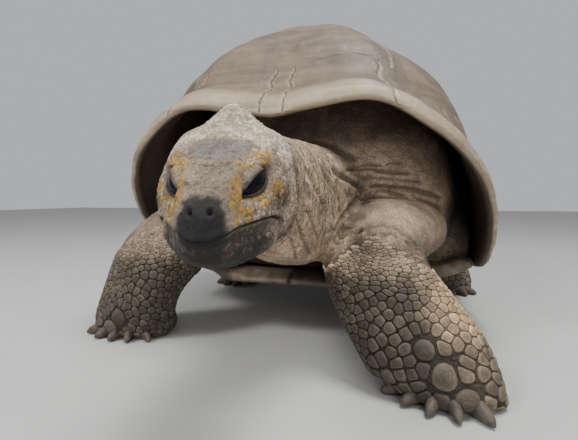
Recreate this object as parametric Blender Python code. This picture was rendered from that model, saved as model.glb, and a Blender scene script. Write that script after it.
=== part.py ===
"""Giant tortoise, life size, standing still in the middle of a step.

Metres, +Z up. The animal faces -Y and its own left side is at +X. Shell and body are laid out
round the middle of the shell, and the whole figure is then moved so that its box stands on the
floor with its centre over the origin.
"""
import math
from collections import namedtuple

import bmesh
import bpy
from mathutils import Matrix, Vector

# ---------------------------------------------------------------- driving dimensions
GAP = 0.0003                 # between two pieces that touch
CURVED_GAP = 0.0018          # between two curved pieces, one of them cut to fit the other

SHELL_LENGTH = 1.15
SHELL_WIDTH = 0.922
SHELL_HEIGHT = 0.802         # floor to the highest point
SHELL_MIDDLE_X = -0.010      # the body sways a little over its right foreleg
SHELL_APEX_Y = -0.070
SHELL_WALL = 0.020
SHELL_FRONT_SQUARENESS = 3.4
SHELL_REAR_SQUARENESS = 2.3
SHELL_AROUND = 44
SHELL_RINGS = 12
SHELL_LAST_RISE = 0.965      # of the ring round the crown
SHELL_LIP = 0.006            # how far the edge bulges down between its two faces
# how fast the dome draws inwards and rises: at the nape, side and tail, and more at the corners
DOME_INWARD = (1.32, 0.80, 0.90, 0.30)
DOME_UPWARD = (1.16, 0.79, 0.90, 0.32)
# height of the lower edge, from the nape (0 degrees) round to the tail (180 degrees)
RIM_HEIGHTS = (
    (0, 0.466), (8, 0.480), (18, 0.490), (27, 0.446), (38, 0.374), (47, 0.294), (57, 0.205),
    (68, 0.140), (90, 0.124), (103, 0.148), (116, 0.216), (126, 0.250), (145, 0.262), (165, 0.250),
    (180, 0.222),
)
RIM_FLARE = 0.028            # how far the front and rear edges roll outwards
RIM_TUCK = 0.034             # how far the edge turns in above the bridges

PLASTRON_BOTTOM = 0.120
PLASTRON_THICK = 0.030
# half-width of the belly plate from its front lip to its rear notch
PLASTRON_WIDTHS = (
    (-0.455, 0.105), (-0.430, 0.150), (-0.380, 0.200), (-0.310, 0.258), (-0.262, 0.330),
    (-0.222, 0.400), (-0.120, 0.420), (-0.010, 0.420), (0.045, 0.400), (0.080, 0.320),
    (0.115, 0.246), (0.250, 0.228), (0.340, 0.185), (0.400, 0.120),
)

HEAD_CENTRE = Vector((0.024, -0.868, 0.319))
HEAD_TURN = math.radians(11)     # towards the animal's left
HEAD_DIP = math.radians(20)      # nose down
EYE_RADIUS = 0.0195
# left eye, in the head's own frame: its centre and the way it looks
EYE_PLACE = Vector((0.0320, -0.0200, 0.0205))
EYE_LOOK = Vector((0.80, -0.56, 0.20)).normalized()
EYE_HOLLOW_RADIUS = 0.0240   # the open hollow between the lids
EYE_HOLLOW_REACH = 0.0280

CLAW_LENGTH = 0.056
CLAW_ROOT = 0.026            # of it set into the foot
CLAW_RADIUS = 0.0195
CLAW_TAPER = 0.45
CLAW_BEND = 0.010            # of the tip towards the floor
CLAW_SIDES = 8

LIMB_SIDES = 20
NECK_SIDES = 24
TAIL_SIDES = 16
LIMB_SQUARENESS = 2.3
ANKLE_ABOVE_SOLE = 1.25      # in stations
NECK_CUT = 2.0               # station at which the neck is cut in two

Station = namedtuple("Station", "x y z wide ahead behind")

# Every limb, from inside the trunk down to its sole: centre, half-width, and the reach ahead of
# and behind the centre line.
FORELEG_LEFT = (
    Station(0.250, -0.315, 0.242, 0.080, 0.062, 0.060),
    Station(0.214, -0.420, 0.244, 0.092, 0.072, 0.064),
    Station(0.182, -0.502, 0.232, 0.098, 0.082, 0.054),
    Station(0.176, -0.548, 0.194, 0.096, 0.074, 0.050),
    Station(0.196, -0.566, 0.148, 0.094, 0.070, 0.060),
    Station(0.232, -0.580, 0.096, 0.096, 0.070, 0.062),
    Station(0.268, -0.592, 0.044, 0.102, 0.074, 0.064),
    Station(0.290, -0.598, 0.000, 0.096, 0.070, 0.060),
)
FORELEG_RIGHT = (
    Station(-0.225, -0.305, 0.245, 0.080, 0.064, 0.060),
    Station(-0.254, -0.398, 0.238, 0.092, 0.072, 0.062),
    Station(-0.290, -0.450, 0.204, 0.098, 0.080, 0.058),
    Station(-0.328, -0.468, 0.158, 0.102, 0.078, 0.056),
    Station(-0.354, -0.467, 0.114, 0.102, 0.074, 0.060),
    Station(-0.371, -0.461, 0.075, 0.102, 0.072, 0.062),
    Station(-0.381, -0.456, 0.036, 0.106, 0.076, 0.066),
    Station(-0.385, -0.454, 0.000, 0.100, 0.072, 0.062),
)
HINDLEG_LEFT = (
    Station(0.205, 0.350, 0.255, 0.086, 0.076, 0.066),
    Station(0.256, 0.304, 0.238, 0.084, 0.078, 0.060),
    Station(0.300, 0.262, 0.204, 0.078, 0.074, 0.056),
    Station(0.334, 0.226, 0.158, 0.073, 0.068, 0.056),
    Station(0.358, 0.194, 0.106, 0.075, 0.064, 0.060),
    Station(0.374, 0.168, 0.048, 0.082, 0.070, 0.068),
    Station(0.380, 0.158, 0.000, 0.078, 0.068, 0.064),
)
HINDLEG_RIGHT = (
    Station(-0.205, 0.360, 0.258, 0.086, 0.076, 0.066),
    Station(-0.256, 0.316, 0.242, 0.084, 0.078, 0.060),
    Station(-0.296, 0.272, 0.208, 0.078, 0.074, 0.056),
    Station(-0.324, 0.224, 0.164, 0.073, 0.066, 0.056),
    Station(-0.338, 0.174, 0.110, 0.075, 0.062, 0.060),
    Station(-0.342, 0.130, 0.050, 0.082, 0.068, 0.068),
    Station(-0.342, 0.112, 0.000, 0.078, 0.068, 0.064),
)
# Broad face of each limb: where its front looks
FACING = {
    "foreleg_left": Vector((-0.30, -0.75, 0.60)),
    "foreleg_right": Vector((-0.05, -0.80, 0.60)),
    "hindleg_left": Vector((0.25, -0.70, 0.67)),
    "hindleg_right": Vector((-0.15, -0.75, 0.65)),
}
# name, line, station of the elbow or knee, number of nails and the angle that they fan over
LIMBS = (
    ("foreleg_left", FORELEG_LEFT, 2.8, 5, 130),
    ("foreleg_right", FORELEG_RIGHT, 2.8, 5, 130),
    ("hindleg_left", HINDLEG_LEFT, 3.0, 4, 110),
    ("hindleg_right", HINDLEG_RIGHT, 3.0, 4, 110),
)
TAIL_FACING = Vector((0.0, 0.8, 1.0))
ROWS_PER_STATION = 2
NECK = (
    Station(0.0040, -0.764, 0.356, 0.068, 0.060, 0.084),
    Station(0.0080, -0.705, 0.348, 0.082, 0.072, 0.106),
    Station(0.0140, -0.635, 0.336, 0.096, 0.084, 0.122),
    Station(0.0190, -0.560, 0.324, 0.112, 0.098, 0.132),
    Station(0.0200, -0.480, 0.314, 0.130, 0.112, 0.126),
    Station(0.0200, -0.420, 0.312, 0.132, 0.116, 0.122),
)
TAIL = (
    Station(0.000, 0.400, 0.250, 0.070, 0.058, 0.058),
    Station(0.000, 0.470, 0.236, 0.056, 0.046, 0.046),
    Station(0.000, 0.520, 0.196, 0.042, 0.034, 0.034),
    Station(0.000, 0.545, 0.150, 0.028, 0.024, 0.024),
    Station(0.000, 0.552, 0.112, 0.012, 0.010, 0.010),
)

Band = namedtuple("Band", "wide ahead behind z front_z")

# Level rings of the trunk under the shell: half-width, reach ahead and behind, height at the
# middle and at the front
TRUNK_CLEARANCE = 0.006      # under the shell's inner wall
TRUNK_SQUARENESS = 2.6
TRUNK_BANDS = (
    Band(0.378, 0.446, 0.460, 0.390, 0.440),
    Band(0.394, 0.478, 0.474, 0.300, 0.340),
    Band(0.366, 0.452, 0.446, 0.210, 0.220),
    Band(0.262, 0.385, 0.385, 0.1550, 0.1550),
)

Slice = namedtuple("Slice", "along wide top bottom roof crest")

# Head in its own frame: distance ahead of its centre, half-width, top, underside, how square its
# roof is, and how far the crest along its middle stands over the roof
HEAD = (
    Slice(-0.112, 0.070, 0.062, -0.080, 2.8, 0.020),
    Slice(-0.080, 0.077, 0.064, -0.082, 3.0, 0.019),
    Slice(-0.045, 0.078, 0.061, -0.080, 3.0, 0.011),
    Slice(-0.010, 0.074, 0.056, -0.076, 2.9, 0.003),
    Slice(0.018, 0.066, 0.048, -0.072, 2.8, 0.000),
    Slice(0.042, 0.053, 0.039, -0.066, 2.5, 0.000),
    Slice(0.062, 0.041, 0.032, -0.058, 2.4, 0.000),
    Slice(0.079, 0.031, 0.025, -0.047, 2.4, 0.000),
    Slice(0.090, 0.022, 0.014, -0.036, 2.3, 0.000),
    Slice(0.096, 0.011, 0.002, -0.025, 2.2, 0.000),
)
CREST_WIDTH = 0.035
HEAD_SIDES = 24
HEAD_ROWS = 12
# outline, from the side, of what lies under the line of the mouth and ahead of the jaw's corner
MOUTH_OUTLINE = (
    (-0.004, -0.022), (-0.045, -0.015), (-0.090, -0.019), (-0.120, -0.022), (-0.120, -0.120),
    (0.050, -0.120), (0.034, -0.060), (0.014, -0.034),
)
MOUTH_HALF_WIDTH = 0.10

SKIN_BROWN = (0.215, 0.160, 0.115)
HEAD_BROWN = (0.285, 0.225, 0.165)
LEG_BROWN = (0.165, 0.125, 0.092)
SHELL_BROWN = (0.300, 0.235, 0.180)
PLASTRON_BROWN = (0.330, 0.255, 0.180)
EYE_BLACK = (0.010, 0.011, 0.016)


# ---------------------------------------------------------------- small helpers
def clear_scene():
    for item in list(bpy.data.objects):
        bpy.data.objects.remove(item, do_unlink=True)


def make_material(name, colour, roughness):
    material = bpy.data.materials.new(name)
    material.use_nodes = True
    shader = material.node_tree.nodes["Principled BSDF"]
    shader.inputs["Base Color"].default_value = (*colour, 1.0)
    shader.inputs["Roughness"].default_value = roughness
    shader.inputs["Metallic"].default_value = 0.0
    material.diffuse_color = (*colour, 1.0)
    return material


def smooth_step(low, high, value):
    t = min(1.0, max(0.0, (value - low) / (high - low)))
    return t * t * (3 - 2 * t)


def hump(value, centre, width):
    return math.exp(-((value - centre) / width) ** 2)


def blend(rows, position):
    """Catmull-Rom value of a list of number rows at a position counted in rows."""
    last = len(rows) - 1
    start = min(int(position), last - 1)
    t = position - start
    near = [rows[min(max(start + step, 0), last)] for step in (-1, 0, 1, 2)]
    values = []
    for a, b, c, d in zip(*near):
        values.append(0.5 * (2 * b + (c - a) * t + (2 * a - 5 * b + 4 * c - d) * t * t
                             + (3 * b - a - 3 * c + d) * t ** 3))
    return values


def look_up(table, key):
    """Smooth value of a (key, value) table at a key."""
    if key <= table[0][0]:
        return table[0][1]
    for index in range(len(table) - 1):
        low, high = table[index][0], table[index + 1][0]
        if key <= high:
            return blend(table, index + (key - low) / (high - low))[1]
    return table[-1][1]


def superellipse(turn, wide, up, down, squareness):
    """Point of a rounded outline, as (sideways, upwards)."""
    power = 2 / squareness
    cosine, sine = math.cos(turn), math.sin(turn)
    reach = up if sine >= 0 else down
    sideways = math.copysign(abs(cosine) ** power, cosine) * wide
    upwards = math.copysign(abs(sine) ** power, sine) * reach
    return sideways, upwards


def mesh_object(name, vertices, faces, material):
    mesh = bpy.data.meshes.new(name)
    build = bmesh.new()
    made = [build.verts.new(vertex) for vertex in vertices]
    for face in faces:
        build.faces.new([made[index] for index in face])
    bmesh.ops.recalc_face_normals(build, faces=build.faces)
    if build.calc_volume(signed=True) < 0:
        bmesh.ops.reverse_faces(build, faces=build.faces)
    build.to_mesh(mesh)
    build.free()
    mesh.shade_smooth()
    mesh.set_sharp_from_angle(angle=math.radians(50))
    item = bpy.data.objects.new(name, mesh)
    bpy.context.collection.objects.link(item)
    if material:
        mesh.materials.append(material)
    return item


def make_guide(item):
    item.hide_render = True
    item.display_type = "WIRE"
    return item


def boolean(item, cutter, operation="DIFFERENCE"):
    modifier = item.modifiers.new(f"{operation.lower()} {cutter.name}", "BOOLEAN")
    modifier.object = cutter
    modifier.operation = operation
    modifier.solver = "EXACT"


def bridge_rings(rings, cap_start=True, cap_end=True):
    """Faces between equal rings of points, and flat caps at the two ends."""
    count = len(rings[0])
    vertices = [point for ring in rings for point in ring]
    faces = []
    for row in range(len(rings) - 1):
        for column in range(count):
            after = (column + 1) % count
            faces.append((row * count + column, row * count + after,
                          (row + 1) * count + after, (row + 1) * count + column))
    if cap_start:
        faces.append(tuple(range(count)))
    if cap_end:
        first = (len(rings) - 1) * count
        faces.append(tuple(first + index for index in range(count)))
    return vertices, faces


# ---------------------------------------------------------------- limbs, neck and tail
def limb_line(stations, position, first_line, last_line):
    """Way along a limb; the first and last stretches turn to the lines given for its ends."""
    step = 0.02
    last = len(stations) - 1
    before = Vector(blend(stations, max(position - step, 0))[:3])
    after = Vector(blend(stations, min(position + step, last))[:3])
    line = (after - before).normalized()
    if last_line:
        line = line.lerp(last_line, smooth_step(last - 1.6, last - 0.6, position))
    if first_line:
        line = first_line.lerp(line, smooth_step(0.0, 1.0, position))
    return line.normalized()


def limb_ring(stations, position, line, facing, sides, grow):
    """One ring of a limb at a position counted in stations, square to its line."""
    here = blend(stations, position)
    front = (facing - line * facing.dot(line)).normalized()
    side = line.cross(front)
    centre = Vector(here[:3])
    wide, ahead, behind = (size + grow for size in here[3:])
    ring = []
    for index in range(sides):
        turn = 2 * math.pi * index / sides
        across, forward = superellipse(turn, wide, ahead, behind, LIMB_SQUARENESS)
        ring.append(centre + side * across + front * forward)
    return ring


def limb_piece(name, stations, facing, start, end, material, sides=LIMB_SIDES, grow=0.0,
               first_line=None, last_line=None):
    """The stretch of a limb between two positions, drawn back by half a gap at each cut."""
    last = len(stations) - 1
    rows = max(2, round((end - start) * ROWS_PER_STATION))
    rings = []
    for row in range(rows + 1):
        position = start + (end - start) * row / rows
        line = limb_line(stations, position, first_line, last_line)
        ring = limb_ring(stations, position, line, facing, sides, grow)
        shift = 0.0
        if row == 0 and (start > 0 or first_line):
            shift = GAP / 2 - grow
        if row == rows and end < last:
            shift = grow - GAP / 2
        rings.append([point + line * shift for point in ring])
    return mesh_object(name, *bridge_rings(rings), material)


def claw(name, base, direction, material):
    """One blunt nail: a tapering round spike, bent a little towards the floor."""
    rows = 3
    side = direction.cross(Vector((0, 0, 1))).normalized()
    up = side.cross(direction).normalized()
    rings = []
    for row in range(rows + 1):
        t = row / rows
        radius = CLAW_RADIUS * (1 - CLAW_TAPER * t ** 2)
        centre = base + direction * (CLAW_LENGTH * t) - up * (CLAW_BEND * t * t)
        ring = []
        for index in range(CLAW_SIDES):
            turn = 2 * math.pi * index / CLAW_SIDES
            across, upwards = superellipse(turn, radius, radius * 0.8, radius * 0.8, 2)
            point = centre + side * across + up * upwards
            point.z = max(point.z, GAP)
            ring.append(point)
        rings.append(ring)
    return mesh_object(name, *bridge_rings(rings), material)


def foot_claws(limb, stations, facing, count, fan, material):
    """Nails fanned round the front of a foot, each set a little way into it."""
    sole = stations[-1]
    centre = Vector((sole.x, sole.y, 0.0))
    front = Vector((facing.x, facing.y, 0.0)).normalized()
    side = Vector((front.y, -front.x, 0.0))
    claws = []
    for index in range(count):
        turn = math.radians(fan * ((index + 0.5) / count - 0.5))
        direction = front * math.cos(turn) + side * math.sin(turn)
        reach = 1 / math.hypot(math.cos(turn) / sole.ahead, math.sin(turn) / sole.wide)
        base = centre + direction * (reach - CLAW_ROOT) + Vector((0, 0, CLAW_RADIUS))
        slope = (direction + Vector((0, 0, -0.05))).normalized()
        claws.append(claw(f"{limb}_claw_{index + 1}", base, slope, material))
    return claws


def make_limb(limb, stations, knee, claw_count, claw_fan, material):
    """Upper part, lower part and foot with its nails; returns the first two."""
    facing = FACING[limb]
    last = len(stations) - 1
    ankle = last - ANKLE_ABOVE_SOLE
    down = Vector((0, 0, -1))
    upper = limb_piece(f"{limb}_upper", stations, facing, 0, knee, material, last_line=down)
    lower = limb_piece(f"{limb}_lower", stations, facing, knee, ankle, material, last_line=down)
    foot = limb_piece(f"{limb}_foot", stations, facing, ankle, last, material, last_line=down)
    for nail in foot_claws(limb, stations, facing, claw_count, claw_fan, None):
        boolean(foot, make_guide(nail), "UNION")
    return upper, lower


# ---------------------------------------------------------------- shell
def rim_point(turn):
    """Lower edge of the shell at an angle from the nape, growing towards +X."""
    sine, cosine = math.sin(turn), math.cos(turn)
    blend_rear = smooth_step(0.2, -0.2, cosine)
    power = SHELL_FRONT_SQUARENESS + (SHELL_REAR_SQUARENESS - SHELL_FRONT_SQUARENESS) * blend_rear
    across = abs(sine / (SHELL_WIDTH / 2)) ** power
    along = abs(cosine / (SHELL_LENGTH / 2)) ** power
    radius = (across + along) ** (-1 / power)
    degrees = abs(math.degrees(math.atan2(sine, cosine)))
    return Vector((radius * sine, -radius * cosine, look_up(RIM_HEIGHTS, degrees)))


def dome_power(powers, turn, rise):
    """Power for one direction; it eases to 1 at the top, which keeps the crown round."""
    nape, side, tail, corner = powers
    cosine, sine = math.cos(turn), math.sin(turn)
    end = nape if cosine > 0 else tail
    power = end * cosine ** 2 + side * sine ** 2 + corner * (2 * sine * cosine) ** 2
    return power + (1 - power) * smooth_step(0.5, 1.0, rise)


def shell_surface(turn, rise):
    """Outer surface: rise 0 is the edge, 1 the highest point."""
    rim = rim_point(turn)
    angle = rise * math.pi / 2
    inward = math.cos(angle) ** dome_power(DOME_INWARD, turn, rise)
    upward = math.sin(angle) ** dome_power(DOME_UPWARD, turn, rise)
    centre_y = SHELL_APEX_Y * smooth_step(0.0, 0.55, rise)
    x = SHELL_MIDDLE_X + rim.x * inward
    y = centre_y + (rim.y - centre_y) * inward
    z = rim.z + (SHELL_HEIGHT - rim.z) * upward
    ends = RIM_FLARE * abs(math.cos(turn)) ** 1.5
    valley = ends * hump(rise, 0.22, 0.10)
    degrees = abs(math.degrees(math.atan2(math.sin(turn), math.cos(turn))))
    tuck = RIM_TUCK * hump(degrees, 82, 26) * hump(rise, 0.0, 0.14)
    outward = Vector((rim.x, rim.y, 0)).normalized()
    roll = outward * (ends * 0.35 * hump(rise, 0.0, 0.07) - valley - tuck)
    fold = Vector((0, 0, 0.4 * ends * hump(rise, 0.07, 0.06) - 0.4 * valley))
    return Vector((x, y, z)) + roll + fold


def shell_point(turn, rise, depth):
    """Point at a depth under the outer surface."""
    point = shell_surface(turn, rise)
    if depth == 0:
        return point
    step = 0.01
    low, high = max(rise - step, 0.0), min(rise + step, 0.999)
    along = shell_surface(turn, high) - shell_surface(turn, low)
    around = shell_surface(turn + step, rise) - shell_surface(turn - step, rise)
    normal = around.cross(along).normalized()
    if normal.dot(Vector((point.x, point.y, 0.25))) < 0:
        normal = -normal
    return point - normal * depth


def shell_rises(first, count):
    reach = SHELL_LAST_RISE - first
    return [first + reach * (index / (count - 1)) ** 1.15 for index in range(count)]


def shell_ring(rise, depth, around=SHELL_AROUND):
    return [shell_point(2 * math.pi * index / around, rise, depth) for index in range(around)]


def make_carapace(name, material, grow=0.0):
    """The domed upper shell: outer surface, rolled edge and inner surface."""
    rises = shell_rises(0.0, SHELL_RINGS)
    rings = [shell_ring(rise, -grow) for rise in reversed(rises)]
    rim = [point.copy() for point in rings[-1]]
    inner_rim = shell_ring(0.012, SHELL_WALL + grow)
    lip = [(a + b) / 2 - Vector((0, 0, SHELL_LIP + grow)) for a, b in zip(rim, inner_rim)]
    rings += [lip, inner_rim]
    rings += [shell_ring(rise, SHELL_WALL + grow) for rise in rises[1:]]
    return mesh_object(name, *bridge_rings(rings), material)


def plastron_height(x, bridge):
    """Underside of the belly plate: flat, curling up into the bridges at its sides."""
    return PLASTRON_BOTTOM + 0.020 * bridge * smooth_step(0.30, 0.44, abs(x))


def make_plastron(material):
    """The belly plate with the two bridges that carry it up to the carapace."""
    columns = 10
    rows = 17
    first, last = PLASTRON_WIDTHS[0][0], PLASTRON_WIDTHS[-1][0]
    rings = []
    for row in range(rows + 1):
        y = first + (last - first) * row / rows
        half = look_up(PLASTRON_WIDTHS, y)
        bridge = smooth_step(0.28, 0.40, half)
        ends = 0.008 * (smooth_step(-0.40, -0.455, y) + smooth_step(0.35, 0.40, y))
        lower, upper = [], []
        for column in range(columns + 1):
            x = half * (2 * column / columns - 1)
            z = plastron_height(x, bridge)
            lower.append(Vector((SHELL_MIDDLE_X + x, y, z + ends)))
            upper.append(Vector((SHELL_MIDDLE_X + x * 0.985, y, z + PLASTRON_THICK - ends)))
        rings.append(lower + upper[::-1])
    return mesh_object("plastron", *bridge_rings(rings), material)


# ---------------------------------------------------------------- trunk
def trunk_edge_rise(turn):
    """How far up the shell's inner wall the skin is fixed: far in at the neck and the legs."""
    degrees = abs(math.degrees(math.atan2(math.sin(turn), math.cos(turn))))
    neck = 0.18 * hump(degrees, 0, 34)
    arm = 0.16 * hump(degrees, 44, 17)
    leg = 0.12 * hump(degrees, 136, 19)
    tail = 0.08 * hump(degrees, 180, 22)
    return 0.34 + neck + arm + leg + tail


def trunk_ring(band, around, grow):
    """A level ring of the body; a band is its half-width, reach ahead and behind, and height."""
    ring = []
    for index in range(around):
        turn = 2 * math.pi * index / around - math.pi / 2
        wide, behind, ahead = (size + grow for size in (band.wide, band.behind, band.ahead))
        x, y = superellipse(turn, wide, behind, ahead, TRUNK_SQUARENESS)
        slope = (band.front_z - band.z) * smooth_step(0.0, -0.30, y)
        ring.append(Vector((SHELL_MIDDLE_X + x, y, band.z + slope)))
    return ring


def make_trunk(name, material, grow=0.0):
    """The body inside the shell: close under the dome, rounded where neck and legs come out."""
    around = SHELL_AROUND // 2
    depth = SHELL_WALL + TRUNK_CLEARANCE - grow
    rings = [shell_ring(rise, depth, around) for rise in (SHELL_LAST_RISE, 0.88, 0.76, 0.64)]
    edge = []
    for index in range(around):
        turn = 2 * math.pi * index / around
        edge.append(shell_point(turn, trunk_edge_rise(turn), depth + 0.004))
    rings.append(edge)
    rings += [trunk_ring(band, around, grow) for band in TRUNK_BANDS]
    for point in rings[-1]:
        point.z -= grow
    return mesh_object(name, *bridge_rings(rings), material)


# ---------------------------------------------------------------- head
def head_matrix():
    turn = Matrix.Rotation(HEAD_TURN, 4, "Z") @ Matrix.Rotation(HEAD_DIP, 4, "X")
    return Matrix.Translation(HEAD_CENTRE) @ turn


def head_ring(position):
    along, wide, top, bottom, roof, crest = blend(HEAD, position)
    level = (top + bottom) / 2 - 0.008
    ring = []
    for index in range(HEAD_SIDES):
        turn = 2 * math.pi * index / HEAD_SIDES
        square = roof if math.sin(turn) > 0 else 2.4
        across, upwards = superellipse(turn, wide, top - level, level - bottom, square)
        if upwards > 0:
            upwards += crest * hump(across, 0, CREST_WIDTH) * math.sin(turn)
        ring.append(Vector((across, -along, level + upwards)))
    return ring


def head_solid(name, material):
    rings = [head_ring((len(HEAD) - 1) * row / HEAD_ROWS) for row in range(HEAD_ROWS + 1)]
    item = mesh_object(name, *bridge_rings(rings), material)
    item.matrix_world = head_matrix()
    return item


def mouth_block(name, grow):
    """What lies under the line of the mouth, ahead of the corner of the jaw."""
    rings = []
    for x in (-MOUTH_HALF_WIDTH, MOUTH_HALF_WIDTH):
        rings.append([Vector((x, y, z)) for y, z in MOUTH_OUTLINE])
    block = mesh_object(name, *bridge_rings(rings), None)
    block.matrix_world = head_matrix() @ Matrix.Translation((0, grow, grow))
    return make_guide(block)


def ball(name, place, radius, material):
    """A round ball placed in the head's own frame."""
    mesh = bpy.data.meshes.new(name)
    build = bmesh.new()
    bmesh.ops.create_uvsphere(build, u_segments=14, v_segments=9, radius=radius)
    build.to_mesh(mesh)
    build.free()
    mesh.shade_smooth()
    if material:
        mesh.materials.append(material)
    item = bpy.data.objects.new(name, mesh)
    bpy.context.collection.objects.link(item)
    item.matrix_world = head_matrix() @ Matrix.Translation(place)
    return item


def make_eye(word, side, skull, material):
    """An eyeball in its socket, with the hollow in front of it that the lids leave open."""
    place = Vector((EYE_PLACE.x * side, EYE_PLACE.y, EYE_PLACE.z))
    look = Vector((EYE_LOOK.x * side, EYE_LOOK.y, EYE_LOOK.z))
    ball(f"eye_{word}", place, EYE_RADIUS, material)
    socket = ball(f"socket_{word}", place, EYE_RADIUS + 2 * GAP, None)
    hollow = ball(f"hollow_{word}", place + look * EYE_HOLLOW_REACH, EYE_HOLLOW_RADIUS, None)
    boolean(skull, make_guide(socket))
    boolean(skull, make_guide(hollow))


def make_head(skin, eye_black):
    skull = head_solid("head", skin)
    jaw = head_solid("lower_jaw", skin)
    boolean(skull, mouth_block("mouth_cut_upper", 0.0))
    boolean(jaw, mouth_block("mouth_cut_lower", -GAP), "INTERSECT")
    make_eye("left", 1, skull, eye_black)
    make_eye("right", -1, skull, eye_black)


# ---------------------------------------------------------------- whole animal
def make_neck(material):
    """The neck in two lengths, its first ring square to the head; returns the rear one and a
    cutter of its shape."""
    up = Vector((0, 0, 1))
    back = head_matrix().to_3x3() @ Vector((0, 1, 0))
    last = len(NECK) - 1
    limb_piece("neck_front", NECK, up, 0, NECK_CUT, material, NECK_SIDES, first_line=back)
    base = limb_piece("neck_base", NECK, up, NECK_CUT, last, material, NECK_SIDES)
    cutter = limb_piece("neck_cutter", NECK, up, NECK_CUT, last, None, NECK_SIDES, CURVED_GAP)
    return base, make_guide(cutter)


def centre_on_floor(pieces):
    """Moves everything so that the box of the pieces stands centred on the floor."""
    bpy.context.view_layer.update()
    graph = bpy.context.evaluated_depsgraph_get()
    corners = []
    for piece in pieces:
        shape = piece.evaluated_get(graph)
        mesh = shape.to_mesh()
        corners += [piece.matrix_world @ vertex.co for vertex in mesh.vertices]
        shape.to_mesh_clear()
    low = [min(corner[axis] for corner in corners) for axis in range(3)]
    high = [max(corner[axis] for corner in corners) for axis in range(3)]
    shift = Vector((-(low[0] + high[0]) / 2, -(low[1] + high[1]) / 2, -low[2]))
    for item in bpy.data.objects:
        item.matrix_world = Matrix.Translation(shift) @ item.matrix_world


def main():
    clear_scene()
    skin = make_material("neck skin", SKIN_BROWN, 0.75)
    head_skin = make_material("head skin", HEAD_BROWN, 0.65)
    leg_skin = make_material("leg skin", LEG_BROWN, 0.75)
    shell = make_material("shell", SHELL_BROWN, 0.55)
    belly = make_material("belly plate", PLASTRON_BROWN, 0.60)
    eye_black = make_material("eye", EYE_BLACK, 0.08)

    make_carapace("carapace", shell)
    carapace_cutter = make_guide(make_carapace("carapace_cutter", None, grow=CURVED_GAP))
    boolean(make_plastron(belly), carapace_cutter)
    make_trunk("trunk", skin)
    trunk_cutter = make_guide(make_trunk("trunk_cutter", None, grow=CURVED_GAP))
    neck_base, neck_cutter = make_neck(skin)
    boolean(neck_base, trunk_cutter)
    for limb, stations, knee, claws, fan in LIMBS:
        for piece in make_limb(limb, stations, knee, claws, fan, leg_skin):
            boolean(piece, trunk_cutter)
            if limb.startswith("foreleg"):
                boolean(piece, neck_cutter)
    tail = limb_piece("tail", TAIL, TAIL_FACING, 0, len(TAIL) - 1, skin, TAIL_SIDES)
    boolean(tail, trunk_cutter)
    make_head(head_skin, eye_black)
    centre_on_floor([item for item in bpy.data.objects if not item.hide_render])


main()
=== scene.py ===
"""Life-size giant tortoise, standing in the middle of a step."""

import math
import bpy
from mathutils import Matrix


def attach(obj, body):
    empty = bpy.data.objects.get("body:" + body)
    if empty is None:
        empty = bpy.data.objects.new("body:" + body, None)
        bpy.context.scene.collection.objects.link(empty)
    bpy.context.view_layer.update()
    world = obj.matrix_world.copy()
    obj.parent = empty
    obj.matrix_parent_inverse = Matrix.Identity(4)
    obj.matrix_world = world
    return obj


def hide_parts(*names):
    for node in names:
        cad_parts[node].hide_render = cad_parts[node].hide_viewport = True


bl_info = {
    "name": "Giant tortoise",
    "version": (1, 0, 0),
    "blender": (4, 5, 0),
    "location": "3D View > Sidebar > Tortoise",
    "description": "Shell, hide, scales, eyes and nails of a standing giant tortoise",
    "category": "Add Mesh",
}

from contextlib import contextmanager

import bmesh
import bpy
import numpy as np
from bpy.props import FloatProperty, FloatVectorProperty, IntProperty, PointerProperty
from mathutils import Matrix, Vector, noise
from mathutils.bvhtree import BVHTree
from mathutils.kdtree import KDTree

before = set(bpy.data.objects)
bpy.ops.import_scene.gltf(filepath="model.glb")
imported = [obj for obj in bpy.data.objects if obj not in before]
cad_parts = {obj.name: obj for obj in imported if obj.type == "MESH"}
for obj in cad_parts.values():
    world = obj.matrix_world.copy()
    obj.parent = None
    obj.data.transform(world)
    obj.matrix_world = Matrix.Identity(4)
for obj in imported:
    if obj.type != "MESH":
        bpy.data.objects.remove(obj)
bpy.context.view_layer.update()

# ------------------------------------------------------------------ the figure's own sizes, metres
# Everything is worked out round the middle of the shell and moved by this much to its place
SHIFT = np.array((0.00671, 0.18652, 0.0))

SHELL_LENGTH = 1.15
SHELL_WIDTH = 0.922
SHELL_HEIGHT = 0.802
SHELL_MIDDLE_X = -0.010
SHELL_APEX_Y = -0.070
SHELL_FRONT_SQUARENESS = 3.4
SHELL_REAR_SQUARENESS = 2.3
DOME_INWARD = (1.32, 0.80, 0.90, 0.30)
DOME_UPWARD = (1.16, 0.79, 0.90, 0.32)
# height of the shell's edge, from the nape (0 degrees) round to the tail (180 degrees)
RIM_HEIGHTS = (
    (0, 0.466), (8, 0.480), (18, 0.490), (27, 0.446), (38, 0.374), (47, 0.294), (57, 0.205),
    (68, 0.140), (90, 0.124), (103, 0.148), (116, 0.216), (126, 0.250), (145, 0.262), (165, 0.250),
    (180, 0.222),
)
RIM_FLARE = 0.028
RIM_TUCK = 0.034

PLASTRON_BOTTOM = 0.120
PLASTRON_THICK = 0.030
PLASTRON_WIDTHS = (
    (-0.455, 0.105), (-0.430, 0.150), (-0.380, 0.200), (-0.310, 0.258), (-0.262, 0.330),
    (-0.222, 0.400), (-0.120, 0.420), (-0.010, 0.420), (0.045, 0.400), (0.080, 0.320),
    (0.115, 0.246), (0.250, 0.228), (0.340, 0.185), (0.400, 0.120),
)

HEAD_CENTRE = np.array((0.024, -0.868, 0.319))
HEAD_TURN = math.radians(11)
HEAD_DIP = math.radians(20)
EYE_RADIUS = 0.0195
EYE_PLACE = np.array((0.0320, 0.0200, 0.0205))    # out to its side, ahead and up

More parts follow.
